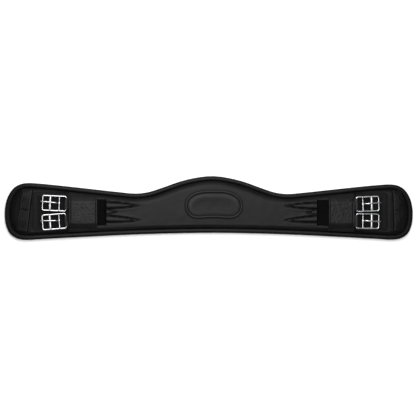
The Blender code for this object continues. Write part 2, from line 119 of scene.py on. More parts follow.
class NodeBench:
    """Short hand for laying out a material's nodes."""

    def __init__(self, name: str) -> None:
        """Start a material with an empty Principled shader.

        Args:
            name: the material's name.
        """
        self.material = bpy.data.materials.new(name)
        self.material.use_nodes = True
        self.tree = self.material.node_tree
        self.shader = self.tree.nodes["Principled BSDF"]
        self.place = self.add("ShaderNodeTexCoord").outputs["Object"]

    def add(self, kind: str, **settings: object) -> bpy.types.Node:
        """Add a node and set its own properties.

        Args:
            kind: the node's type.
            settings: its own properties and their values.

        Returns:
            The new node.
        """
        node = self.tree.nodes.new(kind)
        for key, value in settings.items():
            setattr(node, key, value)
        return node

    def join(self, source: bpy.types.NodeSocket, target: bpy.types.NodeSocket) -> None:
        """Link two sockets."""
        self.tree.links.new(source, target)

    def stretched(self, scale: tuple[float, float, float]) -> bpy.types.NodeSocket:
        """Return the piece's coordinates, scaled along each axis.

        Args:
            scale: the factor along each axis.

        Returns:
            The socket with the coordinates.
        """
        mapping = self.add("ShaderNodeMapping")
        mapping.inputs["Scale"].default_value = scale
        self.join(self.place, mapping.inputs["Vector"])
        return mapping.outputs["Vector"]

    def noise(
        self, scale: float, detail: float = 3.0, vector: bpy.types.NodeSocket | None = None
    ) -> bpy.types.NodeSocket:
        """Add a noise texture.

        Args:
            scale: its scale, per metre.
            detail: its octaves.
            vector: its coordinates, or none for the piece's own.

        Returns:
            Its factor.
        """
        node = self.add("ShaderNodeTexNoise")
        node.inputs["Scale"].default_value = scale
        node.inputs["Detail"].default_value = detail
        self.join(vector or self.place, node.inputs["Vector"])
        return node.outputs["Fac"]

    def cells(
        self, scale: float, vector: bpy.types.NodeSocket | None = None
    ) -> bpy.types.NodeSocket:
        """Add the distance to the edge of Voronoi cells, this many per metre.

        Args:
            scale: how many cells there are per metre.
            vector: the coordinates to use.

        Returns:
            The socket with the distance.
        """
        node = self.add("ShaderNodeTexVoronoi", feature="DISTANCE_TO_EDGE")
        node.inputs["Scale"].default_value = scale
        self.join(vector or self.place, node.inputs["Vector"])
        return node.outputs["Distance"]

    def spread(
        self, source: bpy.types.NodeSocket, low: float, high: float, start: float, end: float
    ) -> bpy.types.NodeSocket:
        """Map a factor from low..high to start..end.

        Args:
            source: the factor.
            low: the factor that gives start.
            high: the factor that gives end.
            start: the lower result.
            end: the upper result.

        Returns:
            The mapped value.
        """
        node = self.add("ShaderNodeMapRange")
        node.inputs["From Min"].default_value = low
        node.inputs["From Max"].default_value = high
        node.inputs["To Min"].default_value = start
        node.inputs["To Max"].default_value = end
        self.join(source, node.inputs["Value"])
        return node.outputs["Result"]

    def blend(
        self,
        factor: bpy.types.NodeSocket,
        first: tuple[float, ...] | bpy.types.NodeSocket,
        second: tuple[float, ...] | bpy.types.NodeSocket,
    ) -> bpy.types.NodeSocket:
        """Mix two colours.

        Args:
            factor: how much of the second.
            first: a colour or a socket.
            second: a colour or a socket.

        Returns:
            The mixed colour.
        """
        node = self.add("ShaderNodeMix", data_type="RGBA")
        self.join(factor, node.inputs[0])
        for socket, value in ((node.inputs[6], first), (node.inputs[7], second)):
            if isinstance(value, bpy.types.NodeSocket):
                self.join(value, socket)
            else:
                socket.default_value = (*value, 1.0)
        return node.outputs[2]

    def sums(
        self, first: bpy.types.NodeSocket, second: bpy.types.NodeSocket, share: float
    ) -> bpy.types.NodeSocket:
        """Return the first height plus a share of the second.

        Args:
            first: a height.
            second: another height.
            share: how much of the second is added.

        Returns:
            The socket with the sum.
        """
        node = self.add("ShaderNodeMath", operation="MULTIPLY_ADD")
        self.join(second, node.inputs[0])
        node.inputs[1].default_value = share
        self.join(first, node.inputs[2])
        return node.outputs[0]

    def bump(self, height: bpy.types.NodeSocket, depth: float, strength: float = 1.0) -> None:
        """Give the shader a bump of this depth in metres.

        Args:
            height: the height to follow.
            depth: how deep the height reaches.
            strength: how strongly it shows.
        """
        node = self.add("ShaderNodeBump")
        node.inputs["Distance"].default_value = depth
        node.inputs["Strength"].default_value = strength
        self.join(height, node.inputs["Height"])
        self.join(node.outputs["Normal"], self.shader.inputs["Normal"])

    def attribute(self, name: str) -> bpy.types.NodeSocket:
        """Read a value that the piece's points carry."""
        return self.add("ShaderNodeAttribute", attribute_name=name).outputs["Fac"]

    def set(self, **values: float) -> None:
        """Set the shader's plain sockets; underscores stand for spaces."""
        for key, value in values.items():
            self.shader.inputs[key.replace("_", " ")].default_value = value


@dataclass(frozen=True)
class LeatherFinish:
    """Black leather with a fine pebble grain, painted lighter for rubbing and painted highlights and darker
    for painted shade where the mesh says so.
    """

    name: str
    colour: tuple[float, float, float] = (0.0034, 0.0034, 0.0036)
    worn: tuple[float, float, float] = (0.020, 0.0195, 0.019)
    roughness: tuple[float, float] = (0.36, 0.50)
    shine: float = 0.145
    grain_size: float = 1.15 * MM
    grain_depth: float = 0.10 * MM
    cloud_size: float = 38.0 * MM

    def make(self) -> bpy.types.Material:
        """Lay out the grain, the clouding, the rubbing with painted highlights and the painted shade.

        Returns:
            The material.
        """
        bench = NodeBench(self.name)
        warp = bench.noise(0.35 / self.grain_size, 2.0)
        pebble = bench.cells(1.0 / self.grain_size)
        fine = bench.noise(3.2 / self.grain_size, 4.0)
        pebble_height = bench.spread(pebble, 0.0, 0.22, 0.0, 1.0)
        drum = bench.noise(120.0, 2.0)
        height = bench.sums(bench.sums(pebble_height, fine, 0.45), warp, 1.5)
        height = bench.sums(height, drum, 4.0)
        bench.bump(height, self.grain_depth, 0.55)

        cloud = bench.noise(1.0 / self.cloud_size, 4.0)
        paler = tuple(value * 1.55 + 0.002 for value in self.colour)
        tone = bench.blend(bench.spread(cloud, 0.35, 0.70, 0.0, 1.0), self.colour, paler)
        # Paler where the points mark rubbing and painted highlights.
        worn_and_highlighted = bench.blend(bench.attribute("wear"), tone, self.worn)
        # Painted shade: near black where the points mark grooves, creases and shaded sides; the same marks
        # make the leather rougher.
        deep = bench.blend(bench.attribute("crease"), worn_and_highlighted, (0.0012, 0.0012, 0.0012))
        bench.join(deep, bench.shader.inputs["Base Color"])
        low, high = self.roughness
        gloss = bench.spread(bench.sums(cloud, fine, 0.5), 0.45, 0.95, low, high)
        dulled = bench.sums(gloss, bench.attribute("crease"), 0.45)
        bench.join(dulled, bench.shader.inputs["Roughness"])
        bench.set(Specular_IOR_Level=self.shine)
        return bench.material


@dataclass(frozen=True)
class ElasticFinish:
    """Matte woven elastic: ribs across, fine threads along."""

    name: str
    colour: tuple[float, float, float] = (0.0022, 0.0022, 0.0024)
    lint: tuple[float, float, float] = (0.008, 0.008, 0.0085)
    thread: float = 0.55 * MM

    def make(self) -> bpy.types.Material:
        """Lay out the weave and a little lint.

        Returns:
            The material.
        """
        bench = NodeBench(self.name)
        weave = bench.add("ShaderNodeTexWave", bands_direction="Y", wave_profile="SIN")
        weave.inputs["Scale"].default_value = 0.314 / self.thread
        weave.inputs["Distortion"].default_value = 0.6
        weave.inputs["Detail Scale"].default_value = 4.0
        bench.join(bench.place, weave.inputs["Vector"])
        fuzz = bench.noise(1500.0, 3.0, bench.stretched((0.5, 1.6, 1.0)))
        bench.bump(bench.sums(weave.outputs["Fac"], fuzz, 0.8), 0.12 * MM, 0.7)
        lint = bench.spread(bench.noise(420.0, 5.0), 0.56, 0.80, 0.0, 1.0)
        bench.join(bench.blend(lint, self.colour, self.lint), bench.shader.inputs["Base Color"])
        rough = bench.spread(fuzz, 0.3, 0.7, 0.78, 0.94)
        bench.join(rough, bench.shader.inputs["Roughness"])
        bench.set(Specular_IOR_Level=0.05)
        return bench.material


@dataclass(frozen=True)
class FoamFinish:
    """Open-celled cream foam."""

    name: str
    colour: tuple[float, float, float] = (0.55, 0.52, 0.45)
    shade: tuple[float, float, float] = (0.38, 0.35, 0.29)

    def make(self) -> bpy.types.Material:
        """Lay out pores, painted darker as shade, and a slight yellowing.

        Returns:
            The material.
        """
        bench = NodeBench(self.name)
        pores = bench.cells(900.0)
        open_pore = bench.spread(pores, 0.02, 0.20, 0.0, 1.0)
        bench.bump(open_pore, 0.25 * MM, 0.8)
        tone = bench.blend(bench.noise(45.0, 3.0), self.shade, self.colour)
        # The pores take the shade colour: painted shade in them.
        bench.join(bench.blend(open_pore, self.shade, tone), bench.shader.inputs["Base Color"])
        rough = bench.spread(bench.noise(300.0), 0.3, 0.7, 0.86, 0.97)
        bench.join(rough, bench.shader.inputs["Roughness"])
        return bench.material


@dataclass(frozen=True)
class SteelFinish:
    """Polished stainless steel with faint drawing lines and handling marks."""

    name: str
    colour: tuple[float, float, float] = (0.58, 0.58, 0.59)
    shade: tuple[float, float, float] = (0.42, 0.42, 0.44)
    roughness: tuple[float, float] = (0.16, 0.32)

    def make(self) -> bpy.types.Material:
        """Lay out the drawing lines and the marks.

        Returns:
            The material.
        """
        bench = NodeBench(self.name)
        lines = bench.noise(700.0, 4.0, bench.stretched((0.12, 1.0, 1.0)))
        marks = bench.noise(150.0, 5.0)
        bench.bump(bench.sums(lines, marks, 0.6), 0.03 * MM, 0.35)
        tone = bench.blend(bench.spread(marks, 0.35, 0.75, 0.0, 1.0), self.colour, self.shade)
        bench.join(tone, bench.shader.inputs["Base Color"])
        low, high = self.roughness
        bench.join(bench.spread(lines, 0.3, 0.7, low, high), bench.shader.inputs["Roughness"])
        bench.set(Metallic=1.0)
        return bench.material


@dataclass(frozen=True)
class ThreadFinish:
    """Waxed bonded thread."""

    name: str
    colour: tuple[float, float, float] = (0.005, 0.005, 0.0055)
    light: tuple[float, float, float] = (0.016, 0.016, 0.017)

    def make(self) -> bpy.types.Material:
        """Lay out the twist of the plies.

        Returns:
            The material.
        """
        bench = NodeBench(self.name)
        plies = bench.noise(2600.0, 2.0, bench.stretched((1.0, 0.7, 1.0)))
        bench.bump(plies, 0.08 * MM, 0.8)
        tone = bench.blend(bench.spread(plies, 0.4, 0.7, 0.0, 1.0), self.colour, self.light)
        bench.join(tone, bench.shader.inputs["Base Color"])
        bench.join(bench.spread(plies, 0.3, 0.7, 0.42, 0.6), bench.shader.inputs["Roughness"])
        bench.set(Specular_IOR_Level=0.15)
        return bench.material


@dataclass(frozen=True)
class TableFinish:
    """Matte white studio table."""

    name: str
    colour: tuple[float, float, float] = (0.93, 0.93, 0.93)
    shade: tuple[float, float, float] = (0.90, 0.90, 0.90)
    glow: float = 0.18

    def make(self) -> bpy.types.Material:
        """Lay out a barely uneven white.

        Returns:
            The material.
        """
        bench = NodeBench(self.name)
        tone = bench.blend(bench.noise(2.0), self.shade, self.colour)
        bench.join(tone, bench.shader.inputs["Base Color"])
        bench.set(Roughness=0.9, Specular_IOR_Level=0.1, Emission_Strength=self.glow)
        return bench.material


class Palette:
    """Every finish of the girth, made once."""

    def __init__(self) -> None:
        """Make the materials."""
        self.cover = LeatherFinish("cover_leather", shine=0.152).make()
        self.end_panel = LeatherFinish("end_panel_leather", shine=0.075).make()
        self.rim = LeatherFinish(
            "rim_leather", roughness=(0.32, 0.44), shine=0.108, grain_size=0.9 * MM
        ).make()
        self.piping = LeatherFinish(
            "piping_leather", roughness=(0.30, 0.42), shine=0.17, grain_size=0.8 * MM
        ).make()
        self.sleeve = LeatherFinish("sleeve_leather", roughness=(0.32, 0.46), shine=0.16).make()
        self.chape = LeatherFinish(
            "chape_leather",
            roughness=(0.36, 0.50),
            shine=0.20,
            grain_size=1.4 * MM,
            grain_depth=0.2 * MM,
        ).make()
        self.keepers = {
            Side.LEFT: LeatherFinish("left_keeper_leather", roughness=(0.34, 0.46), shine=0.088).make(),
            Side.RIGHT: LeatherFinish("right_keeper_leather", roughness=(0.38, 0.50), shine=0.065).make(),
        }
        self.patch = LeatherFinish("patch_leather", grain_size=0.9 * MM).make()
        self.guard = LeatherFinish(
            "guard_leather",
            roughness=(0.44, 0.56),
            shine=0.075,
            grain_size=0.8 * MM,
            grain_depth=0.06 * MM,
        ).make()
        # A less shiny copy of the guard leather for its middle: painted shade under the buckles.
        self.guard_shade = LeatherFinish(
            "guard_middle_leather", roughness=(0.46, 0.60), shine=0.040, grain_size=0.8 * MM
        ).make()
        self.lining = LeatherFinish(
            "lining_leather",
            colour=(0.0045, 0.0045, 0.0048),
            roughness=(0.5, 0.64),
            shine=0.12,
            grain_size=1.5 * MM,
        ).make()
        self.elastic = ElasticFinish("black_elastic").make()
        self.web = ElasticFinish("black_web", colour=(0.003, 0.003, 0.0034), thread=0.8 * MM).make()
        self.foam = FoamFinish("cream_foam").make()
        self.steel = SteelFinish("polished_steel").make()
        # A lighter, rougher copy of the steel for the roller: painted sheen, so that it reads bright across
        # its width.
        self.roller = SteelFinish(
            "roller_steel", colour=(0.72, 0.72, 0.73), roughness=(0.30, 0.42)
        ).make()
        self.thread = ThreadFinish("black_thread").make()


# ---------------------------------------------------------------- shapes


def ease(values: np.ndarray, low: float, high: float) -> np.ndarray:
    """Go smoothly from 0 at low to 1 at high."""
    share = np.clip((values - low) / (high - low), 0.0, 1.0)
    return share * share * (3.0 - 2.0 * share)


def hump(values: np.ndarray, width: float) -> np.ndarray:
    """Return a round hump, 1 at zero and 0 from this far out."""
    return 1.0 - ease(np.abs(values), 0.0, width)


def ripple(
    x: np.ndarray, y: np.ndarray, size: float, seed: int, stretch: float = 1.0
) -> np.ndarray:
    """Make smooth unevenness from waves in random directions.

    Args:
        x: places along the girth.
        y: places across it.
        size: typical wavelength.
        seed: picks the waves.
        stretch: how much longer the waves are along Y than along X.

    Returns:
        A value for each place, about -1 to 1.
    """
    rng = np.random.default_rng(seed)
    waves = 16
    total = np.zeros(np.broadcast(x, y).shape)
    for _ in range(waves):
        angle = rng.uniform(0.0, 2.0 * math.pi)
        length = size * rng.uniform(0.65, 1.7)
        phase = rng.uniform(0.0, 2.0 * math.pi)
        run = x * math.cos(angle) + y * math.sin(angle) / stretch
        total += np.sin(run * 2.0 * math.pi / length + phase)
    return total / math.sqrt(waves)


def mix(
    start: np.ndarray, end: np.ndarray, at: np.ndarray, low: np.ndarray, high: np.ndarray
) -> np.ndarray:
    """Blend rows of points from start to end as at goes from low to high."""
    share = ((at - low) / (high - low))[:, None]
    return start * (1.0 - share) + end * share


def rounded_through(points: np.ndarray, steps: int) -> np.ndarray:
    """Draw a closed centripetal curve through corner points.

    Args:
        points: the corners, one a row.
        steps: points made from each corner to the next.

    Returns:
        The curve's points.
    """
    four = [np.roll(points, 1 - k, axis=0) for k in range(4)]
    knots = [np.zeros(len(points))]
    for k in range(3):
        gap = np.linalg.norm(four[k + 1] - four[k], axis=1)
        knots.append(knots[-1] + np.sqrt(gap))
    rows = []
    for step in range(steps):
        at = knots[1] + (knots[2] - knots[1]) * step / steps
        first = [mix(four[k], four[k + 1], at, knots[k], knots[k + 1]) for k in range(3)]
        second = [mix(first[k], first[k + 1], at, knots[k], knots[k + 2]) for k in range(2)]
        rows.append(mix(second[0], second[1], at, knots[1], knots[2]))
    return np.stack(rows, axis=1).reshape(-1, points.shape[1])


def run_along(path: np.ndarray) -> np.ndarray:
    """Return how far along a path each of its points is."""
    return np.concatenate([[0.0], np.cumsum(np.linalg.norm(np.diff(path, axis=0), axis=1))])


def evenly(path: np.ndarray, spacing: float, closed: bool) -> np.ndarray:
    """Space points evenly along a path.

    Args:
        path: the path's points, one a row.
        spacing: the wished distance between points.
        closed: whether the path is a loop.

    Returns:
        The new points; a loop's last point isn't its first again.
    """
    full = np.vstack([path, path[:1]]) if closed else path
    run = run_along(full)
    count = max(2, round(run[-1] / spacing))
    at = np.linspace(0.0, run[-1], count + 1)
    even = np.stack([np.interp(at, run, full[:, k]) for k in range(full.shape[1])], axis=1)
    return even[:-1] if closed else even


def node_outline(node: str, at_top: bool = False) -> np.ndarray:
    """Read the outline of a CAD node's flat underside or top.

    Args:
        node: the node's name.
        at_top: whether to read the top face instead of the underside.

    Returns:
        The longest loop of that face's border, in X and Y.
    """
    mesh = frame["nodes"][node].data
    low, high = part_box(node)
    level = high.z if at_top else low.z
    same = 0.01 * MM
    spots = [tuple(round(value / same) for value in v.co) for v in mesh.vertices]
    used: dict[tuple, int] = {}
    for face in mesh.polygons:
        corners = [spots[index] for index in face.vertices]
        if all(abs(corner[2] * same - level) < 2 * same for corner in corners):
            for edge in zip(corners, corners[1:] + corners[:1]):
                used[tuple(sorted(edge))] = used.get(tuple(sorted(edge)), 0) + 1
    around: dict[tuple, list[tuple]] = {}
    for (start, end), count in used.items():
        if count == 1:
            around.setdefault(start, []).append(end)
            around.setdefault(end, []).append(start)
    loops = []
    while around:
        here = next(iter(around))
        loop = []
        while here in around:
            loop.append(here)
            ahead = [other for other in around.pop(here) if other in around]
            here = ahead[0] if ahead else None
        loops.append(loop)
    longest = max(loops, key=len)
    return np.array([spot[:2] for spot in longest]) * same


class Outline:
    """A closed outline seen from above, run clockwise, that knows how far inside it a place is."""

    def __init__(self, corners: np.ndarray, spacing: float = 1.0 * MM) -> None:
        """Smooth the corners into a loop and note its inward directions.

        Args:
            corners: points round the outline.
            spacing: the distance between the points of the smooth loop.
        """
        loop = evenly(rounded_through(corners, 8), spacing, closed=True)
        ahead = np.roll(loop, -1, axis=0)
        area = np.sum(loop[:, 0] * ahead[:, 1] - ahead[:, 0] * loop[:, 1])
        self.loop = loop[::-1].copy() if area > 0 else loop
        along = np.roll(self.loop, -1, axis=0) - np.roll(self.loop, 1, axis=0)
        along /= np.linalg.norm(along, axis=1)[:, None]
        self.inward = np.stack([along[:, 1], -along[:, 0]], axis=1)
        self.station = np.arange(len(self.loop)) * spacing
        self.tree = KDTree(len(self.loop))
        for index, (x, y) in enumerate(self.loop):
            self.tree.insert((x, y, 0.0), index)
        self.tree.balance()

    def moved_in(self, distance: float | np.ndarray) -> np.ndarray:
        """Return the loop moved inward, by one distance or one for each point."""
        return self.loop + self.inward * np.broadcast_to(distance, len(self.loop))[:, None]

    def depth(self, points: np.ndarray) -> np.ndarray:
        """Measure how far inside the outline places are.

        Args:
            points: the places, one a row, in X and Y.

        Returns:
            The distance of each from the edge, below zero outside.
        """
        near_edge = 3.0 * MM
        result = np.empty(len(points))
        for row, (x, y) in enumerate(points):
            _, index, reach = self.tree.find((x, y, 0.0))
            across = float(np.dot(points[row] - self.loop[index], self.inward[index]))
            if abs(across) < near_edge and reach < near_edge:
                result[row] = across
            else:
                result[row] = math.copysign(reach, across)
        return result


def flat_at(level: float) -> Surface:
    """Return the surface that lies flat at one height."""
    return lambda x, y, depth: np.full_like(x, level)


class Blank:
    """A flat cut of material, meshed, ready to be given a top and an underside."""

    def __init__(
        self,
        outline: Outline,
        inset: float | np.ndarray,
        spacing: float,
        rings: tuple[float, ...] = (0.3 * MM, 0.9 * MM),
        edge_spacing: float = 2.0 * MM,
        windows: tuple[np.ndarray, ...] = (),
    ) -> None:
        """Cut and mesh the blank.

        Args:
            outline: the outline that it follows.
            inset: how far in from the outline its edge lies.
            spacing: distance between its inner points.
            rings: extra rings of points, this far in from its edge.
            edge_spacing: distance between points along the edge.
            windows: loops that are cut out of it.
        """
        step = max(1, round(edge_spacing / (outline.station[1] - outline.station[0])))
        reach = np.broadcast_to(inset, len(outline.loop))
        edge = outline.moved_in(reach)[::step]
        loops = [edge, *windows]
        points = [edge, *windows]
        points += [outline.moved_in(reach + ring)[::step] for ring in rings]
        low, high = edge.min(axis=0), edge.max(axis=0)
        rise = spacing * math.sqrt(3.0) / 2.0
        rows = np.arange(low[1], high[1], rise)
        field_points = []
        for index, y in enumerate(rows):
            xs = np.arange(low[0] + (index % 2) * spacing / 2.0, high[0], spacing)
            field_points.append(np.stack([xs, np.full(len(xs), y)], axis=1))
        grid = np.vstack(field_points)
        margin = float(np.max(inset)) + (max(rings) if rings else 0.0) + spacing * 0.55
        grid = grid[outline.depth(grid) > margin]
        for window in windows:
            grid = grid[~self.inside(grid, window, spacing * 0.5)]
        points.append(grid)
        coordinates = np.vstack(points)
        edges = []
        start = 0
        for loop in loops:
            count = len(loop)
            edges += [(start + k, start + (k + 1) % count) for k in range(count)]
            start += count
        made = delaunay_2d_cdt([Vector(p) for p in coordinates], edges, [], 1, 1e-7)
        self.points = np.array([tuple(p) for p in made[0]])
        triangles = np.array([face for face in made[2] if len(face) == 3])
        centres = self.points[triangles].mean(axis=1)
        for window in windows:
            kept = ~self.inside(centres, window, 0.0)
            triangles, centres = triangles[kept], centres[kept]
        self.triangles = triangles
        self.depth = outline.depth(self.points)

    @staticmethod
    def inside(points: np.ndarray, loop: np.ndarray, margin: float) -> np.ndarray:
        """Say which points lie in a window's box, grown by a margin."""
        low, high = loop.min(axis=0) - margin, loop.max(axis=0) + margin
        return np.all((points > low) & (points < high), axis=1)

    def border(self) -> np.ndarray:
        """Return the edges that only one triangle has, run with the blank on their left.

        Returns:
            The edges, each as two indices.
        """
        sides = np.vstack([self.triangles[:, pair] for pair in ([0, 1], [1, 2], [2, 0])])
        known = {(int(a), int(b)) for a, b in sides}
        return np.array([(a, b) for a, b in known if (b, a) not in known])

    def solid(self, top: Surface, bottom: Surface) -> Shape:
        """Give the blank a top and an underside.

        Args:
            top: height of the top at x, y and depth.
            bottom: height of the underside.

        Returns:
            The closed solid's points and faces.
        """
        x, y = self.points.T
        upper = np.column_stack([self.points, top(x, y, self.depth)])
        lower = np.column_stack([self.points, bottom(x, y, self.depth)])
        count = len(self.points)
        faces = [tuple(map(int, face)) for face in self.triangles]
        faces += [tuple(int(v) + count for v in face[::-1]) for face in self.triangles]
        faces += [(int(b), int(a), int(a) + count, int(b) + count) for a, b in self.border()]
        return np.vstack([upper, lower]), faces


def stitch_into_piece(
    name: str,
    shape: Shape,
    finish: bpy.types.Material,
    sharp: float = 50.0,
) -> bpy.types.Object:
    """Make an object of points and faces.

    Args:
        name: the piece's name.
        shape: its points and faces.
        finish: its material.
        sharp: edges over this angle, in degrees, stay sharp.

    Returns:
        The new object, in the scene.
    """
    points, faces = shape
    mesh = bpy.data.meshes.new(name)
    mesh.from_pydata(points.tolist(), [], faces)
    mesh.validate()
    shell = bmesh.new()
    shell.from_mesh(mesh)
    bmesh.ops.recalc_face_normals(shell, faces=shell.faces[:])
    shell.to_mesh(mesh)
    shell.free()
    mesh.shade_smooth()
    mesh.set_sharp_from_angle(angle=math.radians(sharp))
    mesh.materials.append(finish)
    piece = bpy.data.objects.new(name, mesh)
    bpy.context.scene.collection.objects.link(piece)
    log.info("%s: %d points, %d faces", name, len(points), len(faces))
    return piece


def mark(piece: bpy.types.Object, name: str, values: np.ndarray) -> None:
    """Let the piece's points carry a value from 0 to 1 for its material."""
    layer = piece.data.attributes.new(name, "FLOAT", "POINT")
    layer.data.foreach_set("value", np.clip(values, 0.0, 1.0).astype(np.float32))


def grid_faces(rows: int, columns: int, wrap_rows: bool, wrap_columns: bool) -> list[tuple[int, ...]]:
    """List the quads of a grid whose rows or columns may close on themselves.

    Args:
        rows: how many rows of points there are.
        columns: how many columns.
        wrap_rows: whether the last row joins the first.
        wrap_columns: whether the last column joins the first.

    Returns:
        The faces, each as four indices.
    """
    faces = []
    for r in range(rows if wrap_rows else rows - 1):
        for c in range(columns if wrap_columns else columns - 1):
            r2, c2 = (r + 1) % rows, (c + 1) % columns
            faces.append((r * columns + c, r * columns + c2, r2 * columns + c2, r2 * columns + c))
    return faces


def closed_ring(plan: np.ndarray, z: np.ndarray) -> Shape:
    """Make a ring of closed cross-sections.

    Args:
        plan: x and y of every section's points.
        z: their heights.

    Returns:
        The ring's points and faces.
    """
    points = np.concatenate([plan, z[:, :, None]], axis=2).reshape(-1, 3)
    return points, grid_faces(*z.shape, True, True)


def thick_grid(middle: np.ndarray, thickness: float, rounding: float) -> Shape:
    """Give a curved grid of points a thickness, with rounded edges.

    Args:
        middle: points of the middle surface, as rows by columns by 3; its up side is the side that
            rows crossed with columns point to.
        thickness: full thickness.
        rounding: distance from an edge over which it rounds off.

    Returns:
        The closed shell's points and faces.
    """
    rows, columns, _ = middle.shape
    along = np.gradient(middle, axis=0)
    across = np.gradient(middle, axis=1)
    normal = np.cross(along, across)
    normal /= np.linalg.norm(normal, axis=2)[:, :, None]
    edges = []
    for line in (middle[:, columns // 2], middle[rows // 2]):
        run = run_along(line)
        edges.append(np.minimum(run, run[-1] - run))
    edge = np.minimum(edges[0][:, None], edges[1][None, :])
    share = np.clip(edge / rounding, 0.0, 1.0)
    half = thickness / 2 * (0.35 + 0.65 * np.sqrt(1.0 - (1.0 - share) ** 2))
    upper = (middle + normal * half[:, :, None]).reshape(-1, 3)
    lower = (middle - normal * half[:, :, None]).reshape(-1, 3)
    count = rows * columns
    top = grid_faces(rows, columns, False, False)
    faces = [face[::-1] for face in top]
    faces += [tuple(v + count for v in face) for face in top]
    rim = list(range(columns))
    rim += [r * columns + columns - 1 for r in range(1, rows)]
    rim += [(rows - 1) * columns + c for c in range(columns - 2, -1, -1)]
    rim += [r * columns for r in range(rows - 2, 0, -1)]
    for here, ahead in zip(rim, rim[1:] + rim[:1]):
        faces.append((here, ahead, ahead + count, here + count))
    return np.vstack([upper, lower]), faces


def rod(
    path: np.ndarray,
    radius: float | np.ndarray,
    sides: int = 14,
    closed: bool = False,
    flatten: float = 1.0,
) -> Shape:
    """Make a round rod along a path, with rounded ends.

    Args:
        path: the path's points, one a row.
        radius: one radius, or one for each point.
        sides: points round the rod.
        closed: whether the path is a loop.
        flatten: the rod's height as a share of its width.

    Returns:
        The rod's points and faces.
    """
    radii = np.broadcast_to(radius, len(path)).astype(float)
    if not closed:
        cap = 4
        tilt = np.linspace(0.0, math.pi / 2, cap + 1)[1:]
        first, last = path[0] - path[1], path[-1] - path[-2]
        first /= np.linalg.norm(first)
        last /= np.linalg.norm(last)
        start = [path[0] + first * radii[0] * math.sin(t) for t in tilt[::-1]]
        end = [path[-1] + last * radii[-1] * math.sin(t) for t in tilt]
        tips = np.maximum(np.cos(tilt), 0.02)
        radii = np.concatenate([radii[0] * tips[::-1], radii, radii[-1] * tips])
        path = np.vstack([start, path, end])
    if closed:
        tangent = np.roll(path, -1, axis=0) - np.roll(path, 1, axis=0)
    else:
        tangent = np.gradient(path, axis=0)
    tangent /= np.linalg.norm(tangent, axis=1)[:, None]
    guide = np.array([0.0, 0.0, 1.0])
    if np.max(np.abs(tangent @ guide)) > 0.95:
        guide = np.cross(tangent[0], [0.31, 0.95, 0.0])
    sideways = np.cross(guide, tangent)
    sideways /= np.linalg.norm(sideways, axis=1)[:, None]
    upright = np.cross(tangent, sideways)
    turn = np.arange(sides) * 2.0 * math.pi / sides
    ring = sideways[:, None, :] * np.cos(turn)[None, :, None]
    ring = ring + upright[:, None, :] * np.sin(turn)[None, :, None] * flatten
    points = (path[:, None, :] + ring * radii[:, None, None]).reshape(-1, 3)
    faces = grid_faces(len(path), sides, closed, True)
    if not closed:
        faces.append(tuple(range(sides)))
        faces.append(tuple(len(points) - 1 - k for k in range(sides)))
    return points, [face[::-1] for face in faces]


def lathe(
    section: np.ndarray, sides: int, axis: np.ndarray, origin: np.ndarray
) -> Shape:
    """Turn a closed section round an axis.

    Args:
        section: its points as distance along the axis and radius.
        sides: steps of the turn.
        axis: direction of the axis.
        origin: a point on the axis.

    Returns:
        The turned ring's points and faces.
    """
    aside = np.cross(axis, [0.0, 0.0, 1.0])
    aside /= np.linalg.norm(aside)
    above = np.cross(axis, aside)
    turn = np.arange(sides) * 2.0 * math.pi / sides
    spoke = aside[None, :] * np.cos(turn)[:, None] + above[None, :] * np.sin(turn)[:, None]
    points = (
        origin
        + axis[None, None, :] * section[None, :, 0:1]
        + spoke[:, None, :] * section[None, :, 1:2]
    ).reshape(-1, 3)
    return points, grid_faces(sides, len(section), True, True)


def seam(
    path: np.ndarray,
    pitch: float = 3.6 * MM,
    thickness: float = 0.55 * MM,
    closed: bool = False,
) -> Shape:
    """Lay a row of stitches along a path.

    Args:
        path: points on the surface, one a row.
        pitch: length of a stitch and the gap after it.
        thickness: the thread's.
        closed: whether the path is a loop.

    Returns:
        All the stitches' points and faces.
    """
    marks = evenly(path, pitch, closed)
    ends = np.roll(marks, -1, axis=0) if closed else marks[1:]
    starts = marks if closed else marks[:-1]
    share = np.array([0.08, 0.20, 0.45, 0.70, 0.82])
    size = np.array([0.30, 0.85, 1.0, 0.85, 0.30]) * thickness / 2
    lift = np.array([-0.55, 0.1, 0.45, 0.1, -0.55]) * thickness / 2
    sides = 6
    turn = np.arange(sides) * 2.0 * math.pi / sides
    points, faces = [], []
    for start, end in zip(starts, ends):
        along = end - start
        sideways = np.cross([0.0, 0.0, 1.0], along)
        sideways /= max(np.linalg.norm(sideways), 1e-9)
        above = np.cross(along / np.linalg.norm(along), sideways)
        base = len(points) * sides * len(share)
        centre = start + along * share[:, None] + above * lift[:, None]
        ring = sideways * np.cos(turn)[:, None] + above * np.sin(turn)[:, None]
        points.append((centre[:, None, :] + ring[None] * size[:, None, None]).reshape(-1, 3))
        made = [face[::-1] for face in grid_faces(len(share), sides, False, True)]
        made.append(tuple(range(sides))[::-1])
        made.append(tuple(range(sides * (len(share) - 1), sides * len(share))))
        faces += [tuple(v + base for v in face) for face in made]
    return np.vstack(points), faces


def merged(parts: list[Shape]) -> Shape:
    """Put several shapes' points and faces together.

    Args:
        parts: the shapes.

    Returns:
        One shape that holds them all.
    """
    points, faces, start = [], [], 0
    for part_points, part_faces in parts:
        points.append(part_points)
        faces += [tuple(v + start for v in face) for face in part_faces]
        start += len(part_points)
    return np.vstack(points), faces


# ---------------------------------------------------------------- the girth


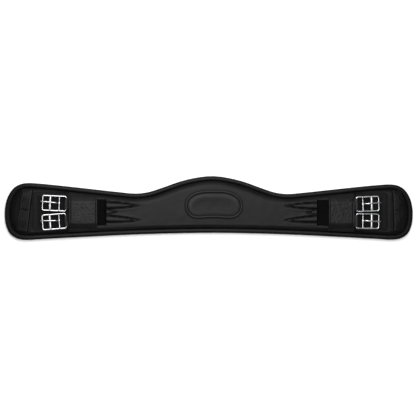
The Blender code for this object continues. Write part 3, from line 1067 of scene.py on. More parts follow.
@dataclass
class GirthPad:
    """The padded body of the girth: lining, foam, web, outer cover and rolled rim."""

    palette: Palette
    rim_width: float = 9.4 * MM
    rim_width_end: float = 10.6 * MM
    lip: float = 0.2 * MM
    flank_front: float = 13.0 * MM
    flank_rear: float = 7.2 * MM
    flank_end: float = 6.0 * MM
    leather: float = 1.5 * MM
    crease_height: float = 7.4 * MM
    crown: float = 0.5 * MM
    ridge_half: float = 6.2 * MM
    ridge_tip: float = 142.0 * MM
    ridge_base: float = 207.0 * MM
    ridge_rise: float = 1.1 * MM
    groove_half: float = 1.3 * MM
    groove_drop: float = 2.6 * MM
    notch_half: float = 4.4 * MM
    notch_tip: float = 188.0 * MM
    notch_drop: float = 1.9 * MM
    recess: float = 1.2 * MM
    end_panel_from: float = 256.0 * MM

    def __post_init__(self) -> None:
        """Read the outline and the levels from the frame."""
        self.outline = Outline(node_outline("lining_cover"))
        self.patch_outline = Outline(node_outline("center_patch", at_top=True))
        self.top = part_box("outer_cover")[1].z
        self.strap_middle = (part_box("core_web")[0].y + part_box("core_web")[1].y) / 2
        self.guard_boxes = {side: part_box(f"{side.label}_buckle_guard") for side in Side}
        self.anchor_rows = {
            row: (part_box(f"right_{row.label}_anchor")[0].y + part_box(f"right_{row.label}_anchor")[1].y) / 2
            for row in Row
        }

    def rim_at(self, x: np.ndarray) -> np.ndarray:
        """Return the rolled rim's width: narrow along the sides, wider round the ends."""
        grown = self.rim_width_end - self.rim_width
        return self.rim_width + grown * ease(np.abs(x), 350.0 * MM, 395.0 * MM)

    def height(self, x: np.ndarray, y: np.ndarray, depth: np.ndarray) -> np.ndarray:
        """Return the height of the outer cover.

        Args:
            x: places along the girth.
            y: places across it.
            depth: how far inside the girth's outline they are.

        Returns:
            The cover's upper surface there.
        """
        far = np.abs(x)
        at_keeper = ease(far, 330.0 * MM, 370.0 * MM)
        towards_front = ease(y, -20.0 * MM, 15.0 * MM) * (1.0 - 0.6 * at_keeper)
        flank = self.flank_rear + (self.flank_front - self.flank_rear) * towards_front
        flank = flank + self.flank_end * ease(far, 350.0 * MM, 392.0 * MM)
        share = np.clip((depth - self.rim_at(x)) / flank, 0.0, 1.0)
        rise = 1.0 - (1.0 - share) ** 2.1
        z = self.crease_height + (self.top - self.crease_height) * rise
        inland = ease(depth, 12.0 * MM, 36.0 * MM) * (1.0 - ease(far, 110.0 * MM, 150.0 * MM))
        z = z + self.crown * inland
        z = z + 0.10 * MM * ripple(x, y, 26.0 * MM, 3) * share
        z = z + self.relief(x, y)
        return z - self.recess * self.under_guard(x, y)

    def relief(self, x: np.ndarray, y: np.ndarray) -> np.ndarray:
        """Return the raised fingers over the strap ends and the notch between them.

        Args:
            x: places along the girth.
            y: places across it.

        Returns:
            What the cover is raised by there.
        """
        far = np.abs(x)
        z = np.zeros_like(x)
        run = np.clip((self.ridge_base - far) / (self.ridge_base - self.ridge_tip), -0.2, 1.2)
        inside = np.clip(run, 0.0, 1.0)
        here = ease(far, self.ridge_tip - 3.0 * MM, self.ridge_tip + 6.0 * MM)
        here = here * (1.0 - ease(far, self.ridge_base, self.ridge_base + 1.0 * MM))
        fade = np.clip(1.12 - run, 0.0, 1.0) ** 0.28
        for row in Row:
            middle = self.anchor_rows[row] + (-2.9 * MM * run if row is Row.REAR else 0.0)
            half = self.ridge_half * (1.0 - 0.96 * inside**1.6)
            aside = np.abs(y - middle)
            groove = np.exp(-(((aside - half) / self.groove_half) ** 2))
            ridge = np.clip(1.0 - (aside / np.maximum(half, 1e-6)) ** 2, 0.0, 1.0)
            outer = np.exp(-(((aside - half - 3.6 * MM) / (2.4 * MM)) ** 2))
            lift = self.ridge_rise * ridge + 0.5 * MM * outer - self.groove_drop * groove
            z += here * fade * lift
        run = np.clip((self.ridge_base - far) / (self.ridge_base - self.notch_tip), -0.2, 1.3)
        here = 1.0 - ease(far, self.ridge_base, self.ridge_base + 1.0 * MM)
        here = here * (1.0 - ease(run, 0.9, 1.2))
        half = self.notch_half * (1.0 - 0.95 * np.clip(run, 0.0, 1.0))
        aside = np.abs(y - self.strap_middle)
        return z - here * self.notch_drop * np.exp(-(((aside - half) / (1.1 * MM)) ** 2))

    def under_guard(self, x: np.ndarray, y: np.ndarray) -> np.ndarray:
        """Return 1 where the cover is let in for the buckle guards and 0 elsewhere.

        Args:
            x: places along the girth.
            y: places across it.

        Returns:
            The share, between 0 and 1.
        """
        result = np.zeros_like(x)
        for side in Side:
            low, high = self.guard_boxes[side]
            inner, outer = 284.0 * MM, max(abs(low.x), abs(high.x)) + 5.0 * MM
            soft = 4.0 * MM
            along = ease(x * side.value, inner - soft, inner)
            along = along * (1.0 - ease(x * side.value, outer, outer + soft))
            across = ease(y, low.y - soft, low.y) * (1.0 - ease(y, high.y, high.y + soft))
            result += along * across
        return result

    def surface(self, x: np.ndarray, y: np.ndarray) -> np.ndarray:
        """Return the cover's height at places given as arrays of any shape."""
        depth = self.outline.depth(np.column_stack([x.ravel(), y.ravel()]))
        return self.height(x.ravel(), y.ravel(), depth).reshape(x.shape)

    def slits(self, inner: float, outer: float, half: float) -> tuple[np.ndarray, ...]:
        """Return the two openings that the straps go through.

        Args:
            inner: their side towards the middle, as a distance from it.
            outer: their other side.
            half: half of their length across the girth.

        Returns:
            A loop for each end.
        """
        loops = []
        for side in Side:
            near, far = side.value * inner, side.value * outer
            low, high = self.strap_middle - half, self.strap_middle + half
            count = 24
            ys = np.linspace(low, high, count)
            loop = [(near, y) for y in ys] + [(far, y) for y in ys[::-1]]
            loops.append(np.array(loop))
        return tuple(loops)

    def build(self) -> None:
        """Make every layer of the pad."""
        self.build_lining()
        self.build_belly_foam()
        self.build_core_web()
        self.build_face_foam()
        self.build_slit_liners()
        self.build_cover()
        self.build_rim()
        self.build_seams()

    def build_lining(self) -> None:
        """Make the leather on the horse side, turned up a little at its edge."""
        low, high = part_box("lining_cover")
        channel = 7.5 * MM

        def underside(x: np.ndarray, y: np.ndarray, depth: np.ndarray) -> np.ndarray:
            """Rise at the edge and in the sewn channel."""
            turned = 1.5 * MM * (1.0 - ease(depth, 0.0, 4.5 * MM))
            return low.z + turned + 0.7 * MM * hump(depth - channel, 2.0 * MM)

        blank = Blank(
            self.outline,
            0.0,
            6.0 * MM,
            rings=tuple(k * MM for k in (0.5, 1.5, 3.0, 4.5, 5.8, 6.7, 7.5, 8.3, 9.4)),
            edge_spacing=3.0 * MM,
        )
        shape = blank.solid(flat_at(high.z), underside)
        piece = stitch_into_piece("lining_sheet", shape, self.palette.lining)
        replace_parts(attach(piece, PAD_BODY), "lining_cover")

    def build_belly_foam(self) -> None:
        """Make the thick foam next to the lining."""
        low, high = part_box("belly_foam")

        def upper(x: np.ndarray, y: np.ndarray, depth: np.ndarray) -> np.ndarray:
            """Round off at the edge."""
            edge = depth - (self.rim_at(x) + 0.3 * MM)
            return high.z - 1.8 * MM * (1.0 - ease(edge, 0.0, 3.0 * MM))

        inset = self.rim_at(self.outline.loop[:, 0]) + 0.3 * MM
        blank = Blank(self.outline, inset, 7.0 * MM, (1.0 * MM, 2.0 * MM, 3.2 * MM), 4.0 * MM)
        shape = blank.solid(upper, flat_at(low.z))
        piece = stitch_into_piece("belly_foam_block", shape, self.palette.foam)
        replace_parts(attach(piece, PAD_BODY), "belly_foam")

    def build_core_web(self) -> None:
        """Make the web that carries the pull from one end to the other."""
        low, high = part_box("core_web")
        xs = np.arange(low.x, high.x, 0.8 * MM)
        ys = np.linspace(low.y, high.y, 26)
        x, y = np.meshgrid(xs, ys, indexing="ij")
        rib = 0.10 * MM * np.sin(x * 2.0 * math.pi / (3.2 * MM))
        z = (low.z + high.z) / 2 + rib
        shape = thick_grid(np.stack([x, y, z], axis=2), high.z - low.z - 0.2 * MM, 0.8 * MM)
        piece = stitch_into_piece("core_web_band", shape, self.palette.web)
        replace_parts(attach(piece, PAD_BODY), "core_web")

    def build_face_foam(self) -> None:
        """Make the foam under the outer cover, hollowed for the web and the strap ends."""
        low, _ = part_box("face_foam")
        _, web_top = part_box("core_web")
        _, anchor_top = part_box("right_front_anchor")

        def upper(x: np.ndarray, y: np.ndarray, depth: np.ndarray) -> np.ndarray:
            """Follow the inside of the cover, well clear of its grooves over the strap ends.

            Args:
                x: places along the girth.
                y: places across it.
                depth: how far inside the outline they are.

            Returns:
                The heights.
            """
            near_grooves = ease(np.abs(x), 139.0 * MM, 144.0 * MM) * (np.abs(x) < 216.0 * MM)
            near_grooves = near_grooves * (np.abs(y - self.strap_middle) < 27.0 * MM)
            return self.height(x, y, depth) - self.leather - 0.3 * MM - 1.4 * MM * near_grooves

        def lower(x: np.ndarray, y: np.ndarray, depth: np.ndarray) -> np.ndarray:
            """Lie on the belly foam, over the web and over the strap ends.

            Args:
                x: places along the girth.
                y: places across it.
                depth: how far inside the outline they are.

            Returns:
                The heights.
            """
            aside = np.abs(y - self.strap_middle)
            on_web = (1.0 - ease(aside, 25.0 * MM, 27.0 * MM)) * (np.abs(x) < 205.0 * MM)
            on_straps = on_web * ease(np.abs(x), 143.0 * MM, 147.0 * MM)
            over_web = web_top.z + 0.3 * MM - low.z
            over_straps = anchor_top.z + 0.3 * MM - low.z
            rise = np.maximum(over_web * on_web, over_straps * on_straps)
            return np.minimum(low.z + rise, upper(x, y, depth) - 0.2 * MM)

        inset = self.rim_at(self.outline.loop[:, 0]) + 2.4 * MM
        blank = Blank(
            self.outline,
            inset,
            4.0 * MM,
            (1.0 * MM, 2.5 * MM, 4.5 * MM),
            4.0 * MM,
            self.slits(203.5 * MM, 214.5 * MM, 27.0 * MM),
        )
        shape = blank.solid(upper, lower)
        piece = stitch_into_piece("face_foam_sheet", shape, self.palette.foam)
        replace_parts(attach(piece, PAD_BODY), "face_foam")

    def build_slit_liners(self) -> None:
        """Line the two slits with black tape and lay a narrow strip between each two straps."""
        low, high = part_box("right_front_elastic")
        start, end = STRAP_DIVE
        for side in Side:
            far = np.arange(203.7 * MM, end - 0.3 * MM, 0.4 * MM)
            drop = (high.z - low.z - 1.8 * MM) * (1.0 - ease(far, start, end))
            aside = np.linspace(-25.3, 25.3, 40) * MM
            x, y = np.meshgrid(side.value * far, aside + self.strap_middle, indexing="ij")
            z = (high.z - 2.6 * MM - drop)[:, None] * np.ones_like(x)
            shape = thick_grid(np.stack([x, y, z], axis=2), 0.5 * MM, 0.3 * MM)
            name = f"{side.label}_slit_liner"
            piece = stitch_into_piece(name, shape, self.palette.web)
            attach(piece, PAD_BODY)
            far = np.arange(end, 240.0 * MM, 1.0 * MM)
            half_gap = np.interp(far, (208.0 * MM, 285.0 * MM), (0.85 * MM, 4.1 * MM))
            aside = half_gap[:, None] * np.linspace(-1.0, 1.0, 7)[None, :]
            x = (side.value * far)[:, None] * np.ones_like(aside)
            z = self.top + 0.75 * MM + 0.06 * MM * np.sin(far[:, None] * 2.0 * math.pi / (2.0 * MM))
            grid = np.stack([x, aside + self.strap_middle, z * np.ones_like(aside)], axis=2)
            shape = thick_grid(grid, 0.8 * MM, 0.3 * MM)
            name = f"{side.label}_strap_divider"
            piece = stitch_into_piece(name, shape, self.palette.elastic)
            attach(piece, PAD_BODY)

    def build_cover(self) -> None:
        """Make the outer leather: crowned over the foam, creased where it is sewn; its grooves get painted
        shade and its raised fingers rubbing and a painted highlight.
        """
        inset = self.rim_at(self.outline.loop[:, 0]) + 0.2 * MM
        blank = Blank(
            self.outline,
            inset,
            1.9 * MM,
            tuple(k * MM for k in (0.35, 0.9, 1.7, 2.7, 3.9, 5.3, 6.9, 8.6)),
            2.0 * MM,
            self.slits(206.8 * MM, 213.4 * MM, 25.6 * MM),
        )

        def underside(x: np.ndarray, y: np.ndarray, depth: np.ndarray) -> np.ndarray:
            """Lie one thickness of leather under the upper surface."""
            return self.height(x, y, depth) - self.leather

        shape = blank.solid(self.height, underside)
        piece = stitch_into_piece("outer_cover_leather", shape, self.palette.cover)
        x, y = blank.points.T
        relief = self.relief(x, y)
        # Painted shade: darker in the groove by the rim, along the seam round the patch, in the grooves
        # between the fingers and towards the left end.
        seam_line = hump(self.patch_outline.depth(blank.points) + 5.2 * MM, 1.5 * MM)
        crease = np.maximum(hump(blank.depth - self.rim_at(x), 2.2 * MM), 0.7 * seam_line)
        crease = np.maximum(crease, np.clip(-relief / (1.6 * MM), 0.0, 1.0) * 0.7)
        crease = np.maximum(crease, 0.45 * ease(-x, 350.0 * MM, 374.0 * MM))
        mark(piece, "crease", np.tile(crease, 2))
        # Lighter on the raised fingers: rubbing and painted highlight.
        mark(piece, "wear", np.tile(np.clip(relief / (1.2 * MM), 0.0, 1.0) * 0.4, 2))
        piece.data.materials.append(self.palette.end_panel)
        for face in piece.data.polygons:
            face.material_index = int(abs(face.center.x) > self.end_panel_from)
        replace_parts(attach(piece, PAD_BODY), "outer_cover")

    def build_rim(self) -> None:
        """Make the rolled rim, gathered into fine puckers round the ends, with a painted highlight on its top
        and painted shade on its outer side, underside and ends.
        """
        low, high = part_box("edge_binding")
        loop, inward = self.outline.loop, self.outline.inward
        around = 20
        turn = np.arange(around) * 2.0 * math.pi / around
        roundness = 2.0 / 1.9
        flat = np.sign(np.cos(turn)) * np.abs(np.cos(turn)) ** roundness
        tall = np.sign(np.sin(turn)) * np.abs(np.sin(turn)) ** roundness
        width = self.rim_at(loop[:, 0]) - self.lip
        gather = ease(np.abs(loop[:, 0]), 338.0 * MM, 380.0 * MM)
        run = self.outline.station
        pitch = 3.1 * MM
        drift = 0.9 * ripple(run, run * 0.0, 30.0 * MM, 8)
        phase = 2.0 * math.pi * run[:, None] / pitch + drift[:, None] + 1.3 * flat[None, :]
        pucker = 0.34 * MM * gather[:, None] * np.sin(phase) * np.clip(tall, 0.0, 1.0)[None, :]
        uneven = 0.10 * MM * ripple(run, run * 0.0, 19.0 * MM, 5)[:, None] * np.clip(tall, 0.0, 1.0)
        half_height = (high.z - low.z) / 2
        across = self.lip + width[:, None] / 2 * (1.0 - flat[None, :])
        z = (low.z + high.z) / 2 + (half_height + pucker + uneven - 0.2 * MM) * tall[None, :]
        plan = loop[:, None, :] + inward[:, None, :] * across[:, :, None]
        shape = closed_ring(plan, z)
        piece = stitch_into_piece("rolled_rim", shape, self.palette.rim, 80.0)
        # Painted highlight along the top of the roll, fainter towards the ends.
        crest = np.clip(tall, 0.0, 1.0) ** 4 * 0.25
        # Painted shade on the roll's outer side and underside.
        shaded = np.maximum(ease(flat, 0.55, 0.85), ease(-flat, 0.75, 0.95))
        shaded = np.maximum(shaded, (tall < -0.1) * 1.0)
        # Towards the ends the roll gets painted shade and a rougher surface.
        dull_shaded_ends = 0.45 * ease(np.abs(loop[:, 0]), 325.0 * MM, 392.0 * MM)
        mark(piece, "wear", (crest[None, :] * (1.0 - 2.0 * dull_shaded_ends[:, None])).ravel())
        mark(piece, "crease", np.maximum(shaded[None, :], dull_shaded_ends[:, None]).ravel())
        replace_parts(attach(piece, PAD_BODY), "edge_binding")

    def build_seams(self) -> None:
        """Lay the thread round the cover's groove by the rim and in the lining's channel."""
        step = 2
        inset = self.rim_at(self.outline.loop[:, 0]) + 1.5 * MM
        plan = self.outline.moved_in(inset)[::step]
        x, y = plan.T
        z = self.height(x, y, inset[::step]) + 0.12 * MM
        shape = seam(np.column_stack([plan, z]), closed=True)
        piece = stitch_into_piece("cover_seam_thread", shape, self.palette.thread)
        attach(piece, PAD_BODY)
        plan = self.outline.moved_in(7.5 * MM)[::step]
        z = np.full(len(plan), 0.55 * MM)
        shape = seam(np.column_stack([plan, z]), pitch=4.0 * MM, closed=True)
        piece = stitch_into_piece("lining_seam_thread", shape, self.palette.thread)
        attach(piece, PAD_BODY)


@dataclass
class MiddlePatch:
    """The kidney-shaped patch on the bulge, with its piping."""

    pad: GirthPad
    leather: float = 1.3 * MM
    dome: float = 1.0 * MM
    dish: float = 0.45 * MM
    piping_half: float = 2.4 * MM
    piping_rise: float = 1.4 * MM

    def build(self) -> None:
        """Make the panel, the piping and the seam between them."""
        pad, palette = self.pad, self.pad.palette
        outline = pad.patch_outline

        def upper(x: np.ndarray, y: np.ndarray, depth: np.ndarray) -> np.ndarray:
            """Swell inside the piping and dip a little in the middle.

            Args:
                x: places along the girth.
                y: places across it.
                depth: how far inside the outline they are.

            Returns:
                The heights.
            """
            base = pad.surface(x, y) + 0.3 * MM + self.leather
            swell = self.dome * ease(depth, 0.2 * MM, 7.0 * MM)
            return base + swell - self.dish * ease(depth, 8.0 * MM, 20.0 * MM)

        def lower(x: np.ndarray, y: np.ndarray, depth: np.ndarray) -> np.ndarray:
            """Lie on the cover."""
            return pad.surface(x, y) + 0.15 * MM

        rings = tuple(k * MM for k in (0.35, 0.9, 1.7, 2.7, 4.0, 5.5))
        blank = Blank(outline, 0.0, 1.9 * MM, rings, 1.5 * MM)
        shape = blank.solid(upper, lower)
        panel = stitch_into_piece("patch_panel", shape, palette.patch)
        # Painted shade at the panel's edge next to the piping.
        mark(panel, "crease", np.tile(hump(blank.depth, 1.2 * MM), 2))
        # Paler band inside the border: rubbing and painted sheen.
        mark(panel, "wear", np.tile(0.8 * hump(blank.depth - 4.5 * MM, 6.5 * MM), 2))
        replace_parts(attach(panel, PAD_BODY), "center_patch")

        around = 16
        turn = np.arange(around) * 2.0 * math.pi / around
        loop = outline.loop
        across = -(self.piping_half + 0.3 * MM) + self.piping_half * np.cos(turn)
        rise = self.piping_rise * np.sign(np.sin(turn)) * np.abs(np.sin(turn)) ** 0.85
        plan = loop[:, None, :] + outline.inward[:, None, :] * across[None, :, None]
        base = pad.surface(*outline.moved_in(-self.piping_half).T) + self.piping_rise + 0.2 * MM
        z = base[:, None] + rise[None, :]
        shape = closed_ring(plan, z)
        piping = stitch_into_piece("patch_piping", shape, palette.piping, 80.0)
        # Painted shade on the piping's sides.
        mark(piping, "crease", np.tile(ease(np.abs(np.cos(turn)), 0.62, 0.92), len(loop)))
        # Painted highlight along the piping's top.
        mark(piping, "wear", np.tile(np.clip(np.sin(turn), 0.0, 1.0) ** 3 * 0.25, len(loop)))
        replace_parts(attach(piping, PAD_BODY), "center_patch_piping")

        plan = outline.moved_in(1.3 * MM)[::2]
        z = upper(plan[:, 0], plan[:, 1], np.full(len(plan), 1.3 * MM)) + 0.05 * MM
        shape = seam(np.column_stack([plan, z]), 2.8 * MM, 0.45 * MM, closed=True)
        thread = stitch_into_piece("patch_thread", shape, palette.thread)
        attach(thread, PAD_BODY)


@dataclass
class BuckleGuard:
    """The flat panel under a pair of buckles, let into the cover."""

    pad: GirthPad
    side: Side
    leather: float = 1.1 * MM
    corner: float = 4.0 * MM
    stitch_inset: float = 2.4 * MM

    def build(self) -> None:
        """Make the panel with its stitched border."""
        pad, palette = self.pad, self.pad.palette
        node = f"{self.side.label}_buckle_guard"
        low, high = pad.guard_boxes[self.side]
        inner = 284.6 * MM
        outer = max(abs(low.x), abs(high.x)) + 4.6 * MM
        half_x, half_y = (outer - inner) / 2, (high.y - low.y) / 2 - 0.3 * MM
        middle = np.array([self.side.value * (inner + outer) / 2, (low.y + high.y) / 2])
        turn = np.linspace(0.0, 2.0 * math.pi, 240, endpoint=False)
        power = 0.16
        plan = np.column_stack(
            [
                half_x * np.sign(np.cos(turn)) * np.abs(np.cos(turn)) ** power,
                half_y * np.sign(np.sin(turn)) * np.abs(np.sin(turn)) ** power,
            ]
        )
        outline = Outline(evenly(middle + plan, 2.0 * MM, closed=True), 0.75 * MM)

        def upper(x: np.ndarray, y: np.ndarray, depth: np.ndarray) -> np.ndarray:
            """Lie a little proud of the cover, rounded at the edge and drawn in by the seam.

            Args:
                x: places along the girth.
                y: places across it.
                depth: how far inside the outline they are.

            Returns:
                The heights.
            """
            skived = 0.5 * MM * (1.0 - ease(depth, 0.0, 0.9 * MM))
            drawn = 0.35 * MM * hump(depth - self.stitch_inset, 1.3 * MM)
            uneven = 0.07 * MM * ripple(x, y, 16.0 * MM, 21 + self.side.value)
            return pad.surface(x, y) + self.leather + 0.2 * MM - skived - drawn + uneven

        def lower(x: np.ndarray, y: np.ndarray, depth: np.ndarray) -> np.ndarray:
            """Lie on the cover."""
            return pad.surface(x, y) + 0.12 * MM

        rings = tuple(k * MM for k in (0.4, 0.9, 1.5, 2.0, 2.4, 2.8, 3.4, 4.2))
        blank = Blank(outline, 0.0, 2.4 * MM, rings, 1.5 * MM)
        shape = blank.solid(upper, lower)
        panel = stitch_into_piece(f"{node}_leather", shape, palette.guard)
        # Painted shade at the panel's edge and in the groove that the seam draws in.
        drawn_in = 0.5 * hump(blank.depth - self.stitch_inset, 0.9 * MM)
        edge = np.maximum(hump(blank.depth, 0.7 * MM), drawn_in)
        mark(panel, "crease", np.tile(edge * 0.4, 2))
        # The middle under the buckles takes the less shiny copy of the guard leather: painted shade under the
        # buckles.
        panel.data.materials.append(palette.guard_shade)
        for face in panel.data.polygons:
            place = face.center
            within = abs(place.x) < 339.5 * MM and abs(place.y - pad.strap_middle) < 31.0 * MM
            face.material_index = int(within)
        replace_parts(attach(panel, PAD_BODY), node)
        plan = outline.moved_in(self.stitch_inset)[::2]
        depth = np.full(len(plan), self.stitch_inset)
        under_chapes = 0.35 * MM * (np.abs(plan[:, 0]) < 300.0 * MM)
        z = upper(plan[:, 0], plan[:, 1], depth) + 0.08 * MM - under_chapes
        shape = seam(np.column_stack([plan, z]), 3.2 * MM, 0.5 * MM, closed=True)
        thread = stitch_into_piece(f"{node}_thread", shape, palette.thread)
        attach(thread, PAD_BODY)


@dataclass
class StrapSleeve:
    """The leather sleeve over a pair of elastics, hemmed at both mouths and sewn into the grooves."""

    pad: GirthPad
    side: Side
    leather: float = 1.5 * MM
    clear: float = 4.7 * MM
    flat_front: float = 19.3 * MM
    flat_rear: float = 21.2 * MM
    shoulder: float = 28.3 * MM
    shoulder_drop: float = 2.7 * MM
    hem: float = 3.2 * MM
    mouth_drop: float = 1.3 * MM

    def __post_init__(self) -> None:
        """Find where the mouths are."""
        low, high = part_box(f"{self.side.label}_sleeve")
        near, far = sorted((abs(low.x), abs(high.x)))
        self.near = near
        self.far = far + {Side.LEFT: 4.2 * MM, Side.RIGHT: 1.2 * MM}[self.side]

    def reach(self, x: np.ndarray, row: Row) -> np.ndarray:
        """Return how far from the straps' middle line the sleeve's foot is sewn down.

        Args:
            x: places along the girth.
            row: the side to look at.

        Returns:
            The distances.
        """
        loop = self.pad.outline.loop
        half = loop[loop[:, 1] * row.value > 0]
        half = half[np.argsort(half[:, 0])]
        edge = np.interp(x, half[:, 0], half[:, 1])
        return np.abs(edge - self.pad.strap_middle) - self.pad.rim_at(x) - 1.6 * MM

    def grid(self) -> np.ndarray:
        """Shape the middle of the sleeve's leather.

        Returns:
            Its points, from the inner mouth outward and from the rear foot to the front one.
        """
        pad = self.pad
        far = np.arange(self.near, self.far + 0.3 * MM, 0.6 * MM)
        x = self.side.value * far
        front, rear = self.reach(x, Row.FRONT), self.reach(x, Row.REAR)
        share = np.linspace(0.0, 1.0, 90)
        aside = -rear[:, None] + (front + rear)[:, None] * share[None, :]
        places = np.broadcast_to(x[:, None], aside.shape)
        y = aside + pad.strap_middle
        floor = pad.surface(places, y) + 0.25 * MM + self.leather / 2
        top = pad.top + 0.25 * MM + self.leather / 2 + self.clear
        z = np.empty_like(aside)
        for index, (f, r) in enumerate(zip(front, rear)):
            stops = [-r, -self.shoulder, -self.flat_rear, self.flat_front, self.shoulder, f]
            low = top - self.shoulder_drop
            levels = [floor[index, 0], low, top, top, low, floor[index, -1]]
            z[index] = np.interp(aside[index], stops, levels)
        for _ in range(5):
            z[:, 1:-1] = (z[:, :-2] + 2.0 * z[:, 1:-1] + z[:, 2:]) / 4.0
        arch = np.clip((z - floor) / self.clear, 0.0, 1.0)
        inner, outer = (far - far[0])[:, None], (far[-1] - far)[:, None]
        edge = np.minimum(inner, outer)
        seed = 31 + self.side.value
        mottle = 0.10 * MM * ripple(places, y, 5.0 * MM, seed)
        mottle = mottle + 0.13 * MM * ripple(places, y, 13.0 * MM, seed + 4)
        z = z + mottle * (0.3 + 0.7 * arch) * ease(edge, 2.0 * MM, 7.0 * MM)
        z = z - self.mouth_drop * (1.0 - ease(inner, 0.0, 5.5 * MM)) * arch
        z = z + 0.40 * MM * hump(edge - 0.9 * MM, 1.0 * MM) * (0.3 + 0.7 * arch)
        z = z - 0.75 * MM * hump(edge - self.hem, 1.1 * MM) * (0.3 + 0.7 * arch)
        return np.stack([places, y, np.maximum(z, floor)], axis=2)

    def build(self) -> None:
        """Make the sleeve and the thread of its hems and feet."""
        palette = self.pad.palette
        node = f"{self.side.label}_sleeve"
        grid = self.grid()
        shape = thick_grid(grid, self.leather, 1.0 * MM)
        piece = stitch_into_piece(f"{node}_leather", shape, palette.sleeve)
        far = np.abs(grid[:, :, 0])
        edge = np.minimum(far - self.near, self.far - far)
        # Painted shade in the hem grooves and at the mouths' edges.
        sewn = np.maximum(0.9 * hump(edge - self.hem, 1.0 * MM), 0.6 * hump(edge, 0.7 * MM))
        aside = grid[:, :, 1] - self.pad.strap_middle
        # Painted shade on the slopes down to the feet, more on the front slope.
        slope_shade = 0.42 * ease(aside, self.flat_front, self.flat_front + 4.0 * MM)
        slope_shade += 0.30 * ease(-aside, self.flat_rear, self.flat_rear + 3.0 * MM)
        mark(piece, "crease", np.tile(np.maximum(sewn, slope_shade).ravel(), 2))
        # Paler line along each hem: rubbing and painted highlight.
        mark(piece, "wear", np.tile((0.35 * hump(edge - 1.5 * MM, 0.9 * MM)).ravel(), 2))
        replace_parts(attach(piece, PAD_BODY), node)
        above = np.array([0.0, 0.0, self.leather / 2 + 0.05 * MM])
        column = round(self.hem / (0.6 * MM))
        rows = [grid[column, 3:-3], grid[-1 - column, 3:-3], grid[3:-3, 2], grid[3:-3, -3]]
        shape = merged([seam(row + above, 2.9 * MM, 0.5 * MM) for row in rows])
        thread = stitch_into_piece(f"{node}_thread", shape, palette.thread)
        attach(thread, PAD_BODY)


